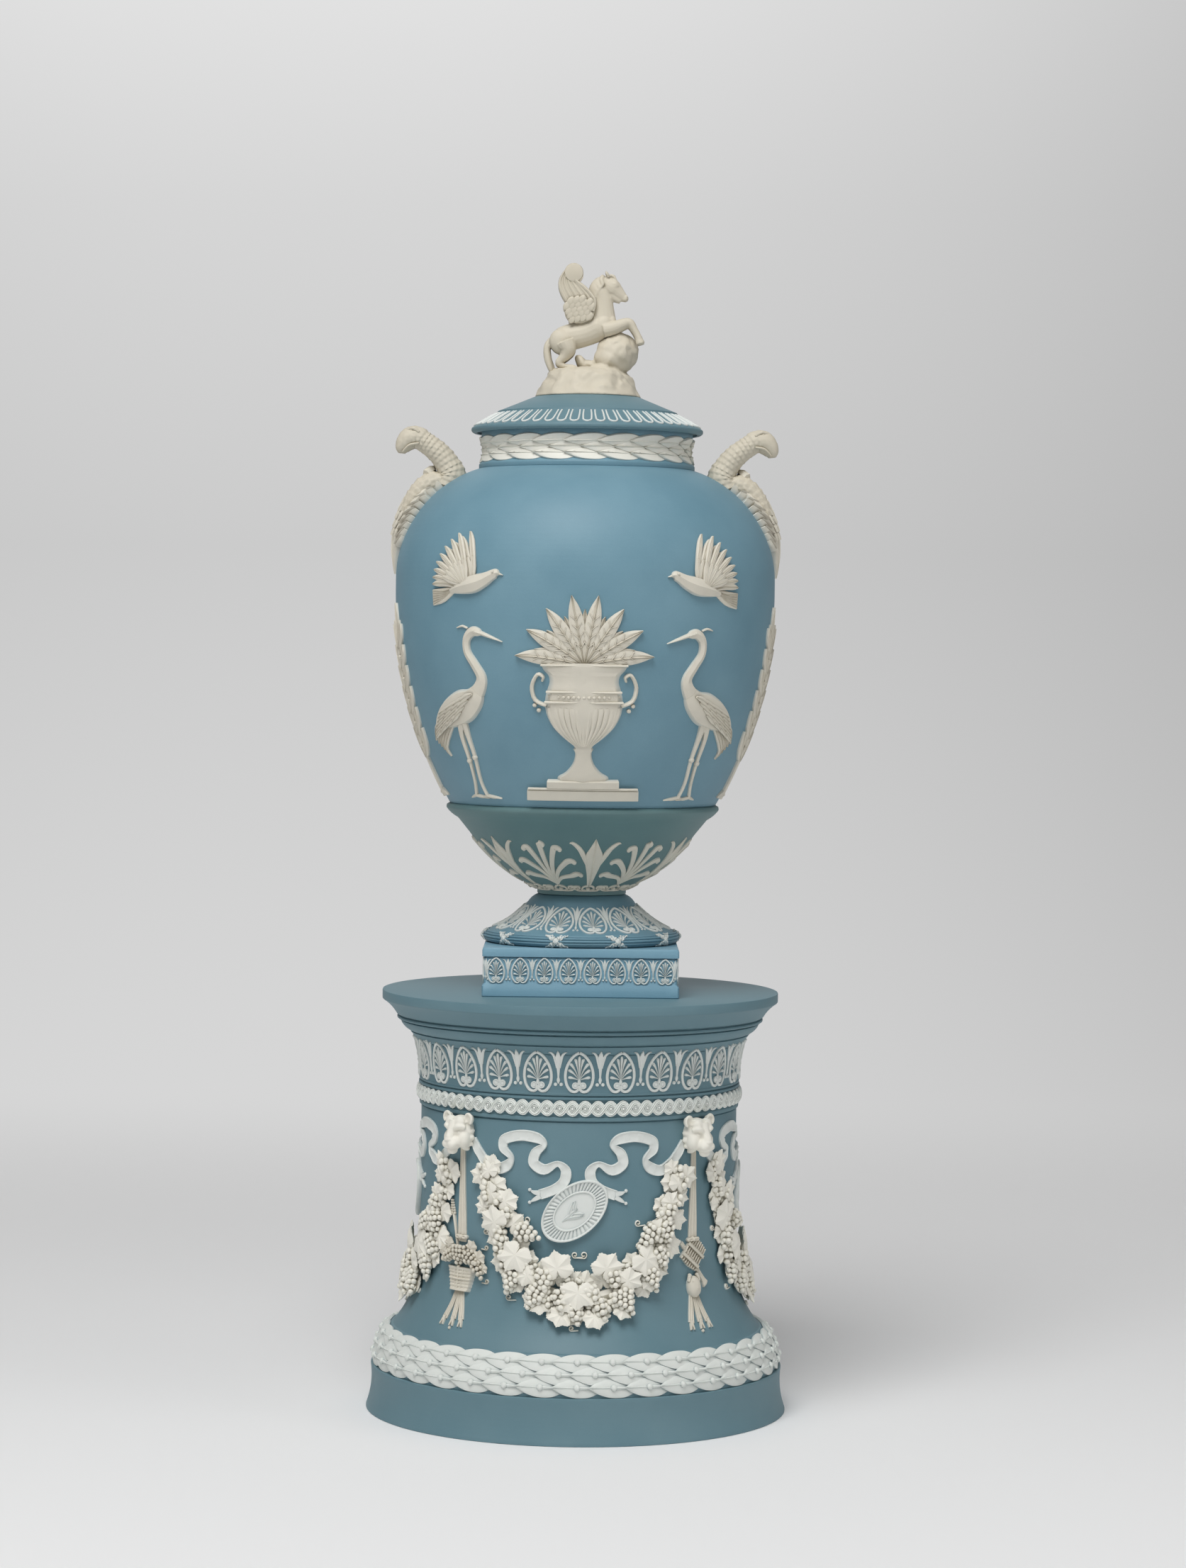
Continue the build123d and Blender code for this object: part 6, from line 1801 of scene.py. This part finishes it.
# %% Stage
sweep = [(-3.0, 0.0), (-1.5, 0.0), (0.0, 0.0), (1.0, 0.0), (1.6, 0.0)]
sweep += [(1.6 + math.sin(k * math.pi / 24), 1 - math.cos(k * math.pi / 24)) for k in range(1, 13)]
sweep += [(2.6, 2.0), (2.6, 3.0)]
paper_points = [(x, y, z) for y, z in sweep for x in (-3, -1.5, 0, 1.5, 3)]
paper_faces = []
for j in range(len(sweep) - 1):
    for k in range(4):
        paper_faces.append((j * 5 + k, j * 5 + k + 1, j * 5 + k + 6, j * 5 + k + 5))
paper = bpy.data.meshes.new("paper")
paper.from_pydata(paper_points, [], paper_faces)
paper.shade_smooth()

backdrop = Finish("paper matt grey")
place = backdrop.node("ShaderNodeSeparateXYZ", links={0: backdrop.place}).outputs
rise = backdrop.node("ShaderNodeValToRGB", links={"Fac": backdrop.stretch(place["Z"], 0, 1, 0, 1.9)})
ramp = rise.color_ramp.elements
ramp[0].color, ramp[1].color = srgb("#D6D6D6"), srgb("#FFFFFF")
for share, code in ((0.28, "#CBCBCB"), (0.5, "#D6D6D6")):
    ramp.new(share).color = srgb(code)
# painted shade of the backdrop: the grey darkens with the distance from its palest place
palest_x, side_strength = -0.35, 0.36
off_palest = backdrop.maths("ABSOLUTE", backdrop.maths("SUBTRACT", place["X"], palest_x))
side_share = backdrop.maths("MULTIPLY", backdrop.maths("POWER", off_palest, 2), side_strength, clamp=True)
glow = backdrop.node("ShaderNodeEmission",
                     links={"Color": backdrop.mix(side_share, rise.outputs["Color"], "#9C9C9C")})
far = backdrop.node("ShaderNodeMapRange", {"From Min": 0.3, "From Max": 1.5}, {"Value": place["Y"]},
                    interpolation_type="SMOOTHSTEP").outputs["Result"]
path = backdrop.node("ShaderNodeLightPath").outputs
seen = backdrop.maths("ADD", path["Is Camera Ray"], path["Is Glossy Ray"])
seen = backdrop.maths("ADD", seen, path["Is Transmission Ray"], clamp=True)
both = backdrop.node("ShaderNodeMixShader",
                     links={0: backdrop.maths("MULTIPLY", far, seen), 1: backdrop.shader.outputs["BSDF"],
                            2: glow.outputs["Emission"]})
backdrop.tree.links.new(both.outputs["Shader"], backdrop.tree.nodes["Material Output"].inputs["Surface"])
paper.materials.append(backdrop.made({"Base Color": srgb("#FAFAFA"), "Roughness": 0.9}))
stage = bpy.data.objects.new("studio_paper", paper)
bpy.context.scene.collection.objects.link(stage)
print("stage", len(paper_faces), "faces")

# %% [markdown]
# The light is one wide soft box above and in front, a much weaker one on each side and a pale world. They
# are set so that a surface that faces them renders about as its colour is written.

# %% Light


def soft_box(name, place, aim, width, power):
    """A square area lamp that looks from its place at a point."""
    lamp = bpy.data.lights.new(name, "AREA")
    lamp.size = width
    lamp.energy = power
    obj = bpy.data.objects.new(name, lamp)
    bpy.context.scene.collection.objects.link(obj)
    obj.location = place
    obj.rotation_euler = (Vector(aim) - Vector(place)).to_track_quat("-Z", "Y").to_euler()


soft_box("soft box above", (-0.35, -1.3, 2.3), (0, 0, 0.35), 1.3, 43)
soft_box("soft box left", (-1.7, -1.3, 1.0), (0, 0, 0.3), 1.0, 1.5)
soft_box("soft box right", (1.9, -0.9, 1.0), (0, 0, 0.35), 1.0, 4)
world = bpy.data.worlds.new("pale room")
bpy.context.scene.world = world
world.use_nodes = True
world.node_tree.nodes["Background"].inputs["Color"].default_value = srgb("#F4F4F4")
world.node_tree.nodes["Background"].inputs["Strength"].default_value = 0.22
print("light from", len(bpy.data.lights), "lamps")

# %% [markdown]
# The camera stands two metres in front, a little above the pedestal's edge, and looks slightly down. Its
# place was fitted to the rings of the object, so the ellipses of its edges open by the right amount.

# %% Camera
camera_data = bpy.data.cameras.new("camera")
camera_data.sensor_fit = "VERTICAL"
camera_data.sensor_height = 36
camera_data.lens = 89.714
camera = bpy.data.objects.new("camera", camera_data)
bpy.context.scene.collection.objects.link(camera)
aside, down, roll_over = (math.radians(angle) for angle in (-0.148, 1.865, 0.712))
look = Matrix.Rotation(aside, 4, "Z") @ Matrix.Rotation(math.pi / 2 - down, 4, "X")
look = look @ Matrix.Rotation(roll_over, 4, "Z")
camera_place = (0, -2.1146, 0.40724)
camera.matrix_world = Matrix.Translation(camera_place) @ look
bpy.context.scene.camera = camera
bpy.context.scene.view_settings.view_transform = "Standard"
print("camera at", camera_place)
